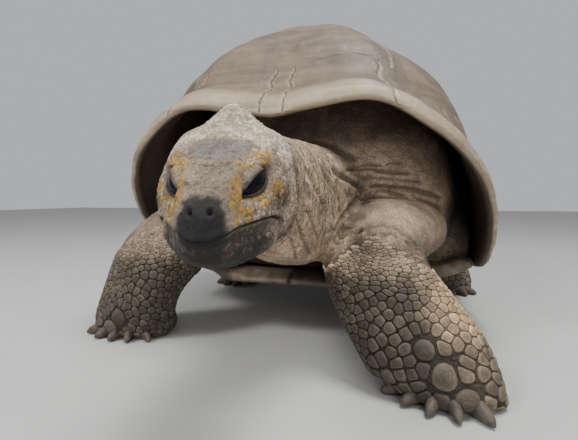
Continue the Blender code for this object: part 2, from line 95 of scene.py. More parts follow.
# limb lines: x, y, z, half-width, reach ahead and behind
FORELEG_LEFT = (
    (0.250, -0.315, 0.242, 0.080, 0.062, 0.060),
    (0.214, -0.420, 0.244, 0.092, 0.072, 0.064),
    (0.182, -0.502, 0.232, 0.098, 0.082, 0.054),
    (0.176, -0.548, 0.194, 0.096, 0.074, 0.050),
    (0.196, -0.566, 0.148, 0.094, 0.070, 0.060),
    (0.232, -0.580, 0.096, 0.096, 0.070, 0.062),
    (0.268, -0.592, 0.044, 0.102, 0.074, 0.064),
    (0.290, -0.598, 0.000, 0.096, 0.070, 0.060),
)
FORELEG_RIGHT = (
    (-0.225, -0.305, 0.245, 0.080, 0.064, 0.060),
    (-0.254, -0.398, 0.238, 0.092, 0.072, 0.062),
    (-0.290, -0.450, 0.204, 0.098, 0.080, 0.058),
    (-0.328, -0.468, 0.158, 0.102, 0.078, 0.056),
    (-0.354, -0.467, 0.114, 0.102, 0.074, 0.060),
    (-0.371, -0.461, 0.075, 0.102, 0.072, 0.062),
    (-0.381, -0.456, 0.036, 0.106, 0.076, 0.066),
    (-0.385, -0.454, 0.000, 0.100, 0.072, 0.062),
)
HINDLEG_LEFT = (
    (0.205, 0.350, 0.255, 0.086, 0.076, 0.066),
    (0.256, 0.304, 0.238, 0.084, 0.078, 0.060),
    (0.300, 0.262, 0.204, 0.078, 0.074, 0.056),
    (0.334, 0.226, 0.158, 0.073, 0.068, 0.056),
    (0.358, 0.194, 0.106, 0.075, 0.064, 0.060),
    (0.374, 0.168, 0.048, 0.082, 0.070, 0.068),
    (0.380, 0.158, 0.000, 0.078, 0.068, 0.064),
)
HINDLEG_RIGHT = (
    (-0.205, 0.360, 0.258, 0.086, 0.076, 0.066),
    (-0.256, 0.316, 0.242, 0.084, 0.078, 0.060),
    (-0.296, 0.272, 0.208, 0.078, 0.074, 0.056),
    (-0.324, 0.224, 0.164, 0.073, 0.066, 0.056),
    (-0.338, 0.174, 0.110, 0.075, 0.062, 0.060),
    (-0.342, 0.130, 0.050, 0.082, 0.068, 0.068),
    (-0.342, 0.112, 0.000, 0.078, 0.068, 0.064),
)
NECK = (
    (0.0200, -0.840, 0.342, 0.052, 0.045, 0.060),
    (0.0040, -0.764, 0.350, 0.068, 0.058, 0.080),
    (0.0080, -0.705, 0.347, 0.082, 0.070, 0.106),
    (0.0140, -0.635, 0.336, 0.096, 0.083, 0.122),
    (0.0190, -0.560, 0.324, 0.112, 0.098, 0.132),
    (0.0200, -0.480, 0.314, 0.130, 0.112, 0.126),
    (0.0200, -0.380, 0.312, 0.132, 0.116, 0.122),
)
TAIL = (
    (0.000, 0.400, 0.250, 0.070, 0.058, 0.058),
    (0.000, 0.470, 0.236, 0.056, 0.046, 0.046),
    (0.000, 0.520, 0.196, 0.042, 0.034, 0.034),
    (0.000, 0.545, 0.150, 0.028, 0.024, 0.024),
    (0.000, 0.552, 0.112, 0.012, 0.010, 0.010),
)
DOWN = np.array((0.0, 0.0, -1.0))
# name: line, where its broad front looks, nails and the angle they fan over
LIMBS = {
    "foreleg_left": (FORELEG_LEFT, (-0.30, -0.75, 0.60), 5, 130),
    "foreleg_right": (FORELEG_RIGHT, (-0.05, -0.80, 0.60), 5, 130),
    "hindleg_left": (HINDLEG_LEFT, (0.25, -0.70, 0.67), 4, 110),
    "hindleg_right": (HINDLEG_RIGHT, (-0.15, -0.75, 0.65), 4, 110),
}
# 2 is an ellipse, and higher numbers come closer to a rectangle
LIMB_SQUARENESS = 2.3
TRUNK_SQUARENESS = 2.6
FLANK_SQUARENESS = 4.0
JAW_SQUARENESS = 2.4
# head slices: distance ahead of its centre, half-width, top, underside, squareness of the roof
# and how far the crest along its middle stands over the roof
HEAD = (
    (-0.112, 0.070, 0.062, -0.080, 2.8, 0.020),
    (-0.080, 0.077, 0.064, -0.082, 3.0, 0.019),
    (-0.045, 0.078, 0.061, -0.080, 3.0, 0.011),
    (-0.010, 0.074, 0.056, -0.076, 2.9, 0.003),
    (0.018, 0.066, 0.048, -0.072, 2.8, 0.000),
    (0.042, 0.053, 0.039, -0.066, 2.5, 0.000),
    (0.062, 0.041, 0.032, -0.058, 2.4, 0.000),
    (0.079, 0.031, 0.025, -0.047, 2.4, 0.000),
    (0.090, 0.022, 0.014, -0.036, 2.3, 0.000),
    (0.096, 0.011, 0.002, -0.025, 2.2, 0.000),
)
CREST_WIDTH = 0.035
TRUNK_DEPTH = 0.028          # of the body's skin under the outside of the dome
TRUNK_RISES = (0.965, 0.88, 0.76, 0.64)      # how far up the dome it follows it
# trunk rings under the shell: half-width, reach ahead and behind, height, height at the front
TRUNK_BANDS = (
    (0.378, 0.446, 0.460, 0.390, 0.440),
    (0.394, 0.478, 0.474, 0.300, 0.340),
    (0.366, 0.452, 0.446, 0.210, 0.220),
    (0.262, 0.385, 0.385, 0.155, 0.155),
)
# rings of the body's sides over the bridges: half-width, half-length, height
FLANK_BANDS = (
    (0.345, 0.12, 0.134), (0.412, 0.16, 0.142), (0.428, 0.18, 0.190), (0.420, 0.18, 0.270),
    (0.385, 0.14, 0.330),
)
FLOOR_GAP = 0.0006           # between the floor and the lowest points of scales and nails


# ------------------------------------------------------------------ numbers
def smooth(low, high, value):
    """0 at the low value, 1 at the high one, and a soft step between them."""
    t = np.clip((value - low) / (high - low), 0.0, 1.0)
    return t * t * (3 - 2 * t)


def hump(value, centre, width):
    """1 at the centre, falling off to both sides of it."""
    return np.exp(-((value - centre) / width) ** 2)


def curve(rows, where):
    """Catmull-Rom values of number rows at positions counted in rows."""
    rows = np.asarray(rows, float)
    last = len(rows) - 1
    where = np.clip(np.asarray(where, float), 0, last)
    start = np.minimum(where.astype(int), last - 1)
    t = (where - start)[..., None]
    a, b, c, d = (rows[np.clip(start + step, 0, last)] for step in (-1, 0, 1, 2))
    return 0.5 * (2 * b + (c - a) * t + (2 * a - 5 * b + 4 * c - d) * t ** 2
                  + (3 * b - a - 3 * c + d) * t ** 3)


def look_up(table, key):
    """Smooth value of a (key, value) table."""
    keys = [row[0] for row in table]
    return curve([row[1:] for row in table], np.interp(key, keys, range(len(keys))))[..., 0]


def superellipse(turn, wide, up, down, squareness):
    power = 2 / np.asarray(squareness, float)
    cosine, sine = np.cos(turn), np.sin(turn)
    across = np.sign(cosine) * np.abs(cosine) ** power * wide
    return across, np.sign(sine) * np.abs(sine) ** power * np.where(sine >= 0, up, down)


def full_turn(count):
    """Angles once round, evenly spaced."""
    return np.linspace(0, 2 * math.pi, count, endpoint=False)


def unit(vectors):
    vectors = np.asarray(vectors, float)
    return vectors / np.maximum(np.linalg.norm(vectors, axis=-1, keepdims=True), 1e-12)


def away_from(points, place, stretch=1.0):
    return np.linalg.norm((points - place) * stretch, axis=1)


def line_distance(points, line):
    """Distance of each point from a line of straight pieces, and how far along it (0 to 1)."""
    line = np.asarray(line, float)
    best = np.full(len(points), np.inf)
    along = np.zeros(len(points))
    for index in range(len(line) - 1):
        start, step = line[index], line[index + 1] - line[index]
        t = np.clip((points - start) @ step / (step @ step), 0, 1)
        gap = np.linalg.norm(points - start - t[:, None] * step, axis=1)
        closer = gap < best
        best[closer] = gap[closer]
        along[closer] = (index + t[closer]) / (len(line) - 1)
    return best, along


def place_tree(points):
    tree = KDTree(len(points))
    for index, point in enumerate(points):
        tree.insert(Vector(point), index)
    tree.balance()
    return tree


def ripple(points, size, seed):
    """Soft random value from -1 to 1 at each point, with lumps of the given size."""
    offset = Vector((seed * 7.31, seed * 3.17, seed * 1.93))
    return np.array([noise.noise(Vector(point) / size + offset) for point in points])


# ------------------------------------------------------------------ meshes
def linked(name, data):
    item = bpy.data.objects.new(name, data)
    bpy.context.scene.collection.objects.link(item)
    return item


def new_mesh(name, points, faces=()):
    mesh = bpy.data.meshes.new(name)
    mesh.from_pydata([tuple(point) for point in np.asarray(points) + SHIFT], [], faces)
    return mesh


@contextmanager
def reshaped(mesh):
    """Opens a mesh for edits and writes them back to it."""
    build = bmesh.new()
    build.from_mesh(mesh)
    yield build
    build.to_mesh(mesh)
    build.free()


def grid_faces(rows, columns):
    """Quads between rows of points, each row closed into a ring."""
    faces = []
    for row in range(rows - 1):
        for column in range(columns):
            after = (column + 1) % columns
            faces.append((row * columns + column, row * columns + after,
                          (row + 1) * columns + after, (row + 1) * columns + column))
    return faces


def loft(name, rings):
    """A closed solid through rings of points, its faces looking outwards."""
    rings = np.asarray(rings)
    rows, columns = rings.shape[:2]
    faces = grid_faces(rows, columns)
    faces.append(tuple(range(columns)))
    faces.append(tuple((rows - 1) * columns + index for index in range(columns)))
    mesh = new_mesh(name, rings.reshape(-1, 3), faces)
    with reshaped(mesh) as build:
        bmesh.ops.recalc_face_normals(build, faces=build.faces)
        if build.calc_volume(signed=True) < 0:
            bmesh.ops.reverse_faces(build, faces=build.faces)
    mesh.shade_smooth()
    return linked(name, mesh)


def applied(item):
    """The object with its modifiers worked into a plain mesh."""
    graph = bpy.context.evaluated_depsgraph_get()
    mesh = bpy.data.meshes.new_from_object(item.evaluated_get(graph), depsgraph=graph)
    item.modifiers.clear()
    old = item.data
    item.data = mesh
    bpy.data.meshes.remove(old)
    mesh.name = item.name
    return item


def values_of(items, field, width, kind=np.float32):
    """A value of every item of a mesh's list, one row each."""
    values = np.empty(len(items) * width, kind)
    items.foreach_get(field, values)
    return values.reshape(-1, width)


def points_of(mesh):
    return values_of(mesh.vertices, "co", 3) - SHIFT


def move_points(mesh, points):
    mesh.vertices.foreach_set("co", (points + SHIFT).ravel())
    mesh.update()


def normals_of(mesh):
    return values_of(mesh.vertex_normals, "vector", 3).astype(float)


def triangles_of(mesh):
    mesh.calc_loop_triangles()
    return values_of(mesh.loop_triangles, "vertices", 3, np.int32)


def edges_of(mesh):
    return values_of(mesh.edges, "vertices", 2, np.int32)


def averaged(values, edges, rounds):
    """Values evened out with those of neighbouring points."""
    values = values.copy()
    count = np.maximum(np.bincount(edges.ravel(), minlength=len(values)), 1)[:, None]
    for _ in range(rounds):
        total = np.zeros_like(values)
        np.add.at(total, edges[:, 0], values[edges[:, 1]])
        np.add.at(total, edges[:, 1], values[edges[:, 0]])
        values += (total / count - values) * 0.5
    return values


def put_values(mesh, name, values):
    """Stores numbers, vectors or colours on the points of a mesh."""
    values = np.asarray(values, np.float32)
    kind, field = {1: ("FLOAT", "value"), 3: ("FLOAT_VECTOR", "vector"),
                   4: ("FLOAT_COLOR", "color")}[values.size // len(values)]
    mesh.attributes.new(name, kind, "POINT").data.foreach_set(field, values.ravel())


def put_tone(mesh, tone):
    put_values(mesh, "tone", np.column_stack((tone, np.ones(len(tone)))))


# ------------------------------------------------------------------ shell surface
def nape_degrees(turn):
    """How far round from the nape an angle lies, up to 180 degrees at the tail."""
    return np.abs(np.degrees(np.arctan2(np.sin(turn), np.cos(turn))))


def shell_rim(turn):
    sine, cosine = np.sin(turn), np.cos(turn)
    rear = smooth(0.2, -0.2, cosine)
    power = SHELL_FRONT_SQUARENESS + (SHELL_REAR_SQUARENESS - SHELL_FRONT_SQUARENESS) * rear
    across = np.abs(sine / (SHELL_WIDTH / 2)) ** power
    along = np.abs(cosine / (SHELL_LENGTH / 2)) ** power
    radius = (across + along) ** (-1 / power)
    return radius * sine, -radius * cosine, look_up(RIM_HEIGHTS, nape_degrees(turn))


def dome_power(powers, turn, rise):
    nape, side, tail, corner = powers
    cosine, sine = np.cos(turn), np.sin(turn)
    end = np.where(cosine > 0, nape, tail)
    power = end * cosine ** 2 + side * sine ** 2 + corner * (2 * sine * cosine) ** 2
    return power + (1 - power) * smooth(0.5, 1.0, rise)


def shell_surface(turn, rise):
    """Outer surface: rise 0 is the edge, 1 the highest point."""
    turn, rise = np.broadcast_arrays(np.asarray(turn, float), np.asarray(rise, float))
    rim_x, rim_y, rim_z = shell_rim(turn)
    angle = rise * math.pi / 2
    inward = np.maximum(np.cos(angle), 0) ** dome_power(DOME_INWARD, turn, rise)
    upward = np.sin(angle) ** dome_power(DOME_UPWARD, turn, rise)
    centre_y = SHELL_APEX_Y * smooth(0.0, 0.55, rise)
    ends = RIM_FLARE * np.abs(np.cos(turn)) ** 1.5
    valley = ends * hump(rise, 0.22, 0.10)
    tuck = RIM_TUCK * hump(nape_degrees(turn), 82, 26) * hump(rise, 0.0, 0.14)
    roll = ends * 0.35 * hump(rise, 0.0, 0.07) - valley - tuck
    reach = np.hypot(rim_x, rim_y)
    x = SHELL_MIDDLE_X + rim_x * inward + rim_x / reach * roll
    y = centre_y + (rim_y - centre_y) * inward + rim_y / reach * roll
    z = rim_z + (SHELL_HEIGHT - rim_z) * upward
    z = z + 0.4 * ends * hump(rise, 0.07, 0.06) - 0.4 * valley
    return np.stack((x, y, z), axis=-1)


def from_inside(points):
    """Which way places of the shell lie from its middle."""
    return points * (1, 1, 0) + (0, 0, 0.25)


def shell_point(turn, rise, depth):
    """Point at a depth under the outer surface."""
    turn, rise = np.broadcast_arrays(np.asarray(turn, float), np.asarray(rise, float))
    point = shell_surface(turn, rise)
    step = 0.01
    along = shell_surface(turn, np.minimum(rise + step, 0.999))
    along = along - shell_surface(turn, np.maximum(rise - step, 0.0))
    around = shell_surface(turn + step, rise) - shell_surface(turn - step, rise)
    normal = unit(np.cross(around, along))
    inwards = (normal * from_inside(point)).sum(-1, keepdims=True) < 0
    normal = np.where(inwards, -normal, normal)
    return point - normal * np.asarray(depth)[..., None]


# ------------------------------------------------------------------ limbs, trunk and head shapes
def limb_rings(stations, facing, rows, sides, grow=0.0, sole=True):
    """Rings of a limb from its root to its end, square to its line."""
    last = len(stations) - 1
    where = np.linspace(0, last, rows)
    here = curve(stations, where)
    before = curve(stations, np.maximum(where - 0.02, 0))[:, :3]
    after = curve(stations, np.minimum(where + 0.02, last))[:, :3]
    line = unit(after - before)
    if sole:
        share = smooth(last - 1.6, last - 0.6, where)[:, None]
        line = unit(line * (1 - share) + DOWN * share)
    facing = np.asarray(facing, float)
    front = unit(facing - line * (line @ facing)[:, None])
    side = np.cross(line, front)
    turn = full_turn(sides)
    across, forward = superellipse(turn[None, :], here[:, 3:4] + grow, here[:, 4:5] + grow,
                                   here[:, 5:6] + grow, LIMB_SQUARENESS)
    return (here[:, None, :3] + side[:, None] * across[..., None]
            + front[:, None] * forward[..., None])


def head_axes():
    return np.array(Matrix.Rotation(HEAD_TURN, 3, "Z") @ Matrix.Rotation(HEAD_DIP, 3, "X"))


def to_head(points):
    """Points in the head's own frame: to its left, ahead and up."""
    return (points - HEAD_CENTRE) @ head_axes() * (1, -1, 1)


def from_head(local):
    return (np.asarray(local) * (1, -1, 1)) @ head_axes().T + HEAD_CENTRE


def head_rings(rows, sides):
    table = curve(HEAD, np.linspace(0, len(HEAD) - 1, rows))
    along, wide, top, bottom, roof, crest = (table[:, [column]] for column in range(6))
    level = (top + bottom) / 2 - 0.008
    turn = full_turn(sides)[None, :]
    square = np.where(np.sin(turn) > 0, roof, JAW_SQUARENESS)
    across, upwards = superellipse(turn, wide, top - level, level - bottom, square)
    upwards = upwards + crest * hump(across, 0, CREST_WIDTH) * np.maximum(np.sin(turn), 0)
    local = np.stack((across, np.broadcast_to(along, across.shape), level + upwards), axis=-1)
    return from_head(local)


def trunk_rings(around):
    """Rings of the body: close under the dome, rounded where neck and legs come out."""
    turn = full_turn(around)
    degrees = nape_degrees(turn)
    rings = [shell_point(turn, rise, TRUNK_DEPTH) for rise in TRUNK_RISES]
    edge = (0.34 + 0.18 * hump(degrees, 0, 34) + 0.16 * hump(degrees, 44, 17)
            + 0.12 * hump(degrees, 136, 19) + 0.08 * hump(degrees, 180, 22))
    rings.append(shell_point(turn, edge, TRUNK_DEPTH + 0.004))
    for wide, ahead, behind, z, front_z in TRUNK_BANDS:
        x, y = superellipse(turn - math.pi / 2, wide, behind, ahead, TRUNK_SQUARENESS)
        height = z + (front_z - z) * smooth(0.0, -0.30, y)
        rings.append(np.stack((SHELL_MIDDLE_X + x, y, height), axis=-1))
    return rings


def flank_rings():
    """Rings of the body's sides, out to the inner wall of the shell over the bridges."""
    rings = []
    for wide, long, z in FLANK_BANDS:
        x, y = superellipse(full_turn(60), wide, long, long, FLANK_SQUARENESS)
        rings.append(np.stack((SHELL_MIDDLE_X + x, y - 0.07, np.full(len(x), z)), axis=-1))
    return rings


# ------------------------------------------------------------------ hide
def subdivided(item, inside):
    """Splits the faces whose middles pass a test into four."""
    with reshaped(item.data) as build:
        middles = np.array([face.calc_center_median() for face in build.faces]) - SHIFT
        picks = zip(build.faces, inside(middles))
        edges = {edge for face, pick in picks if pick for edge in face.edges}
        bmesh.ops.subdivide_edges(build, edges=list(edges), cuts=1, use_grid_fill=True)
        bmesh.ops.triangulate(build, faces=[face for face in build.faces if len(face.verts) > 4])


def join(items):
    with bpy.context.temp_override(active_object=items[0], object=items[0],
                                   selected_editable_objects=items, selected_objects=items):
        bpy.ops.object.join()
    return items[0]


def rough_hide(voxel):
    """Trunk, neck, head, legs and tail grown together into one closed skin."""
    shapes = {"trunk": trunk_rings(88), "neck": limb_rings(NECK, (0, 0, 1), 40, 64, sole=False),
              "tail": limb_rings(TAIL, (0, 0.8, 1), 30, 40, sole=False),
              "head": head_rings(70, 96), "flanks": flank_rings()}
    for limb, (line, facing, *_nails) in LIMBS.items():
        shapes[limb] = limb_rings(line, facing, 50, 64, grow=-0.003)
    whole = join([loft(f"lump_{name}", rings) for name, rings in shapes.items()])
    remesh = whole.modifiers.new("grown together", "REMESH")
    remesh.mode = "VOXEL"
    remesh.voxel_size = voxel
    remesh.use_smooth_shade = True
    whole.name = "hide"
    return applied(whole)


def out_of_sight(points):
    """1 where the hide lies hidden under the dome, in the bridges or on the belly plate."""
    x, y, z = np.abs(points[:, 0] - SHELL_MIDDLE_X), points[:, 1], points[:, 2]
    dome = smooth(0.50, 0.56, z)
    sides = smooth(0.30, 0.35, x) * smooth(-0.24, -0.18, y) * smooth(0.10, 0.02, y)
    belly = smooth(0.185, 0.160, z) * smooth(0.25, 0.20, x) * smooth(0.38, 0.34, np.abs(y))
    return np.maximum(np.maximum(dome, sides), belly) * (smooth(-0.52, -0.46, y))


def bvh(points, triangles):
    return BVHTree.FromPolygons([tuple(point) for point in points],
                                [tuple(row) for row in triangles])


def skin_tree(item):
    return bvh(points_of(item.data) + SHIFT, triangles_of(item.data))


def landed(tree, points):
    """The nearest places of a surface, and which way it faces there."""
    hits = [tree.find_nearest(Vector(point)) for point in points]
    return np.array([tuple(hit[0]) for hit in hits]), np.array([tuple(hit[1]) for hit in hits])


def thinned(item, weights, share):
    """Leaves a share of the faces where the weights are 1, and all of them where they are 0."""
    group = item.vertex_groups.new(name="spare")
    for index in np.nonzero(weights > 0.5)[0]:
        group.add([int(index)], 1.0, "REPLACE")
    triangles = triangles_of(item.data)
    spare = np.count_nonzero((weights[triangles] > 0.5).all(axis=1))
    modifier = item.modifiers.new("thinned", "DECIMATE")
    modifier.ratio = 1 - spare * (1 - share) / len(triangles)
    modifier.vertex_group = "spare"
    applied(item)
    item.vertex_groups.clear()


def near_head(middles):
    local = to_head(middles)
    return (local[:, 1] > -0.125) & (away_from(local, 0.0) < 0.16)


def near_face(middles):
    local = to_head(middles)
    return (local[:, 1] > -0.005) & (local[:, 2] > -0.040) & near_head(middles)


def near_neck(middles):
    gap, along = line_distance(middles, np.array(NECK)[1:5, :3])
    return (gap < 0.15) & (middles[:, 1] < -0.575) & (along < 0.999) & ~near_head(middles)


# ------------------------------------------------------------------ folds of the neck and legs
# creases of the left neck, shoulder and upper foreleg: width, depth, places near the skin
CREASES = (
    (0.0030, 0.0048, ((0.075, -0.746, 0.368), (0.082, -0.734, 0.327), (0.089, -0.692, 0.287),
                      (0.092, -0.626, 0.240))),
    (0.0032, 0.0055, ((0.078, -0.716, 0.385), (0.093, -0.702, 0.342), (0.104, -0.657, 0.304),
                      (0.108, -0.619, 0.265))),
    (0.0028, 0.0045, ((0.076, -0.728, 0.291), (0.075, -0.678, 0.250), (0.071, -0.605, 0.211))),
    (0.0026, 0.0040, ((0.070, -0.730, 0.270), (0.062, -0.709, 0.256), (0.048, -0.613, 0.205))),
    (0.0034, 0.0060, ((0.078, -0.655, 0.399), (0.100, -0.667, 0.362), (0.114, -0.627, 0.332),
                      (0.123, -0.595, 0.305))),
    (0.0050, 0.0110, ((0.077, -0.574, 0.409), (0.107, -0.625, 0.370), (0.122, -0.586, 0.354),
                      (0.145, -0.499, 0.336), (0.154, -0.458, 0.331))),
    (0.0034, 0.0060, ((0.128, -0.484, 0.382), (0.157, -0.443, 0.385), (0.187, -0.432, 0.383))),
    (0.0040, 0.0085, ((0.121, -0.560, 0.365), (0.145, -0.449, 0.377), (0.191, -0.434, 0.371),
                      (0.245, -0.401, 0.368))),
    (0.0042, 0.0090, ((0.143, -0.511, 0.338), (0.181, -0.448, 0.337), (0.231, -0.420, 0.334),
                      (0.272, -0.382, 0.326), (0.310, -0.330, 0.315))),
    (0.0034, 0.0055, ((0.148, -0.489, 0.323), (0.191, -0.441, 0.329), (0.231, -0.417, 0.317),
                      (0.270, -0.420, 0.303))),
    (0.0044, 0.0090, ((0.146, -0.501, 0.331), (0.134, -0.552, 0.302), (0.121, -0.590, 0.277),
                      (0.109, -0.605, 0.256), (0.101, -0.587, 0.231))),
    (0.0034, 0.0065, ((0.126, -0.593, 0.229), (0.141, -0.585, 0.253), (0.163, -0.585, 0.264),
                      (0.185, -0.586, 0.269), (0.206, -0.588, 0.267), (0.226, -0.589, 0.259),
                      (0.242, -0.587, 0.246), (0.251, -0.584, 0.234))),
    (0.0024, 0.0036, ((0.132, -0.590, 0.220), (0.160, -0.594, 0.248), (0.186, -0.594, 0.255),
                      (0.214, -0.592, 0.250), (0.242, -0.588, 0.228))),
)
RIGHT_SHOULDER = np.array((-0.062, 0.060, -0.012))      # how much further out and back it sits
PRESSED = []                 # width, depth and line of each crease, once it lies on the skin
CREASE_REACH = 1.9           # in widths: how far round a crease the skin is made finer


def press_creases(tree):
    """Lays the creases of both sides onto the skin, so that they follow its curves."""
    PRESSED.clear()
    for side in (1, -1):
        for width, sink, line in CREASES:
            line = np.array(line)
            if side < 0:
                line = line * (-1, 1, 1) + RIGHT_SHOULDER
            line = curve(line, np.linspace(0, len(line) - 1, 6 * len(line)))
            line = landed(tree, line + SHIFT)[0] - SHIFT
            for _ in range(3):
                line[1:-1] = (line[:-2] + 2 * line[1:-1] + line[2:]) / 4
            PRESSED.append((width, sink, line))


def creases(points):
    """Nearest crease of either side: distance over its width, and its depth."""
    best = np.full(len(points), 9.0)
    depth = np.zeros(len(points))
    for width, sink, line in PRESSED:
        low, high = line.min(axis=0) - 0.02, line.max(axis=0) + 0.02
        close = np.nonzero(((points > low) & (points < high)).all(axis=1))[0]
        gap, along = line_distance(points[close], line)
        gap = gap / width
        nearer = gap < best[close]
        best[close[nearer]] = gap[nearer]
        depth[close[nearer]] = sink * np.minimum(1, 0.15 + 5 * along * (1 - along))[nearer]
    return best, depth


def near_creases(middles):
    return creases(middles)[0] < CREASE_REACH


def neck_share(points):
    """1 on the neck, 0 on the shoulders and the head."""
    gap, _along = line_distance(points, np.array(NECK)[:, :3])
    share = smooth(0.165, 0.150, gap) * smooth(-0.47, -0.53, points[:, 1])
    return share * smooth(-0.088, -0.112, to_head(points)[:, 1])


def fold_lay(points):
    """Points squeezed along the lie of the folds, so that noise read there comes out as folds."""
    x, y, z = points.T
    back = smooth(-0.74, -0.60, y)
    round_neck = np.stack((0.16 * x, y + (0.05 + 0.42 * back) * (z - 0.32), 0.16 * z), axis=1)
    round_body = np.stack((0.30 * x, 0.30 * y + 0.25 * z, z + 0.10 * np.abs(x)), axis=1)
    share = neck_share(points)[:, None]
    return round_body + (round_neck - round_body) * share


def slits(lay, size, seed):
    """1 along the bottoms of fine wandering folds, 0 on the skin between them."""
    return smooth(0.34, 0.0, np.abs(ripple(lay, size, seed)))


def fold_push(points):
    """Fine folds of the neck and shoulders, and the deep creases."""
    y, z = points[:, 1], points[:, 2]
    lay = fold_lay(points)
    neck = neck_share(points)
    body = smooth(-0.33, -0.42, y) * smooth(0.16, 0.20, z) * (1 - neck)
    body = body * smooth(0.05, 0.0, to_head(points)[:, 1] + 0.12)
    push = np.zeros(len(points))
    inside = np.nonzero(neck + body > 0.01)[0]
    lay, neck, body = lay[inside], neck[inside], body[inside]
    arm = smooth(0.085, 0.055, arm_gap(points[inside]))
    loose = neck + 0.10 * body * (1 - arm)
    push[inside] += 0.0060 * body * (1 - arm) * ripple(lay, 0.075, 6)
    push[inside] -= loose * 0.0034 * slits(lay, 0.0130, 1) * (0.6 + 0.6 * ripple(lay, 0.04, 2))
    push[inside] -= loose * 0.0014 * slits(lay, 0.0062, 3)
    push[inside] += loose * 0.0030 * ripple(lay, 0.026, 4)
    gap, depth = creases(points)
    push -= depth * np.exp(-gap ** 2) * (1 + 0.25 * ripple(points, 0.02, 5))
    push += 0.30 * depth * hump(gap, 2.6, 1.3)
    flap = away_from(points, (0.045, -0.655, 0.232), (0.9, 0.45, 1.3))
    return push + 0.010 * hump(flap, 0, 0.022)


def arm_gap(points):
    """Distance from the middle of the smooth upper part of either foreleg."""
    return np.minimum(away_from(points, (0.190, -0.550, 0.290)),
                      away_from(points, (-0.262, -0.490, 0.272)))


# ------------------------------------------------------------------ head
MOUTH_LINE = ((0.100, -0.014), (0.090, -0.008), (0.075, -0.006), (0.045, -0.010), (0.030, -0.013),
              (0.018, -0.021), (0.010, -0.035), (0.013, -0.052))
EYE_LOOK = unit((0.80, 0.56, 0.20))
EYE_BACK = np.array((0.480, -0.808, 0.342))
EYE_LONG = unit(EYE_BACK - EYE_LOOK * (EYE_LOOK @ EYE_BACK))
EYE_ACROSS = np.cross(EYE_LOOK, EYE_LONG)            # points down and forwards
EYE_FRAME = np.stack((EYE_LONG, EYE_ACROSS, EYE_LOOK), axis=1)
EYE_HALF_LENGTH = 0.0245     # of the whole eyeball
EYE_HALF_HEIGHT = 0.0175
LID_MIDDLE = 0.0015
LID_HALF_LENGTH = 0.0225     # of the opening between the lids
LID_HALF_HEIGHT = 0.0080
LID_POINT = 1.6              # 2 is an oval, 1 comes to sharp corners
LID_REACH = 0.0095           # from the edge of the opening out to the skin of the face
NOSTRIL = np.array((0.0098, 0.0872, 0.0140))
EAR = (0.074, -0.078, -0.010)
BROW = ((0.022, 0.052, 0.036), (0.042, 0.030, 0.050), (0.062, -0.004, 0.050))
CHEEK = ((0.030, 0.055, -0.004), (0.058, 0.022, -0.002), (0.072, -0.010, 0.006))
WRINKLES = ((0.031, 0.020), (0.0365, 0.014), (0.043, 0.010))     # over the snout: place, half-width
# ochre patches round the eyes and on the cheeks: place and reach
OCHRE_SPOTS = (
    ((0.036, 0.022, 0.043), (0.012, 0.016, 0.009)), ((0.050, 0.004, 0.046), (0.012, 0.016, 0.008)),
    ((0.029, 0.050, 0.033), (0.008, 0.014, 0.008)), ((0.030, 0.064, 0.018), (0.010, 0.012, 0.018)),
    ((0.036, 0.066, 0.004), (0.010, 0.014, 0.012)), ((0.052, 0.034, 0.009), (0.016, 0.014, 0.008)),
    ((0.066, 0.014, 0.010), (0.010, 0.014, 0.012)),
)


def mouth_gap(local):
    """Height above the line of the mouth, its nearness, and how far back along it (0 to 1)."""
    side = local[:, 1:]
    gap, along = line_distance(side, MOUTH_LINE)
    rising = MOUTH_LINE[-2::-1]
    level = np.interp(local[:, 1], [row[0] for row in rising], [row[1] for row in rising])
    return local[:, 2] - level, gap, along


def lid_edge(turn):
    """Half-outline of the opening between the lids at an angle from its long axis."""
    share = (np.abs(np.cos(turn) / LID_HALF_LENGTH) ** LID_POINT
             + np.abs(np.sin(turn) / LID_HALF_HEIGHT) ** LID_POINT)
    return share ** (-1 / LID_POINT)


def folded(local):
    """Places in the head's frame, both sides laid over the left one."""
    return np.stack((np.abs(local[:, 0]), local[:, 1], local[:, 2]), axis=1)


def eye_places(local):
    """Points in the eye's own frame, and their distance from the edge of the lid opening."""
    places = (folded(local) - EYE_PLACE) @ EYE_FRAME
    p, q = places[:, 0] - LID_MIDDLE, places[:, 1]
    return places, np.hypot(p, q) - lid_edge(np.arctan2(q, p))


def eye_height(p, q):
    """How far the eyeball stands out over its own middle."""
    left = 1 - (p / EYE_HALF_LENGTH) ** 2 - (q / EYE_HALF_HEIGHT) ** 2
    return EYE_RADIUS * np.sqrt(np.maximum(left, 0.03))


def ahead_of_crown(x, s):
    """Distance ahead of the curved line that the crown's edge follows."""
    return s + 3.0 * x ** 2


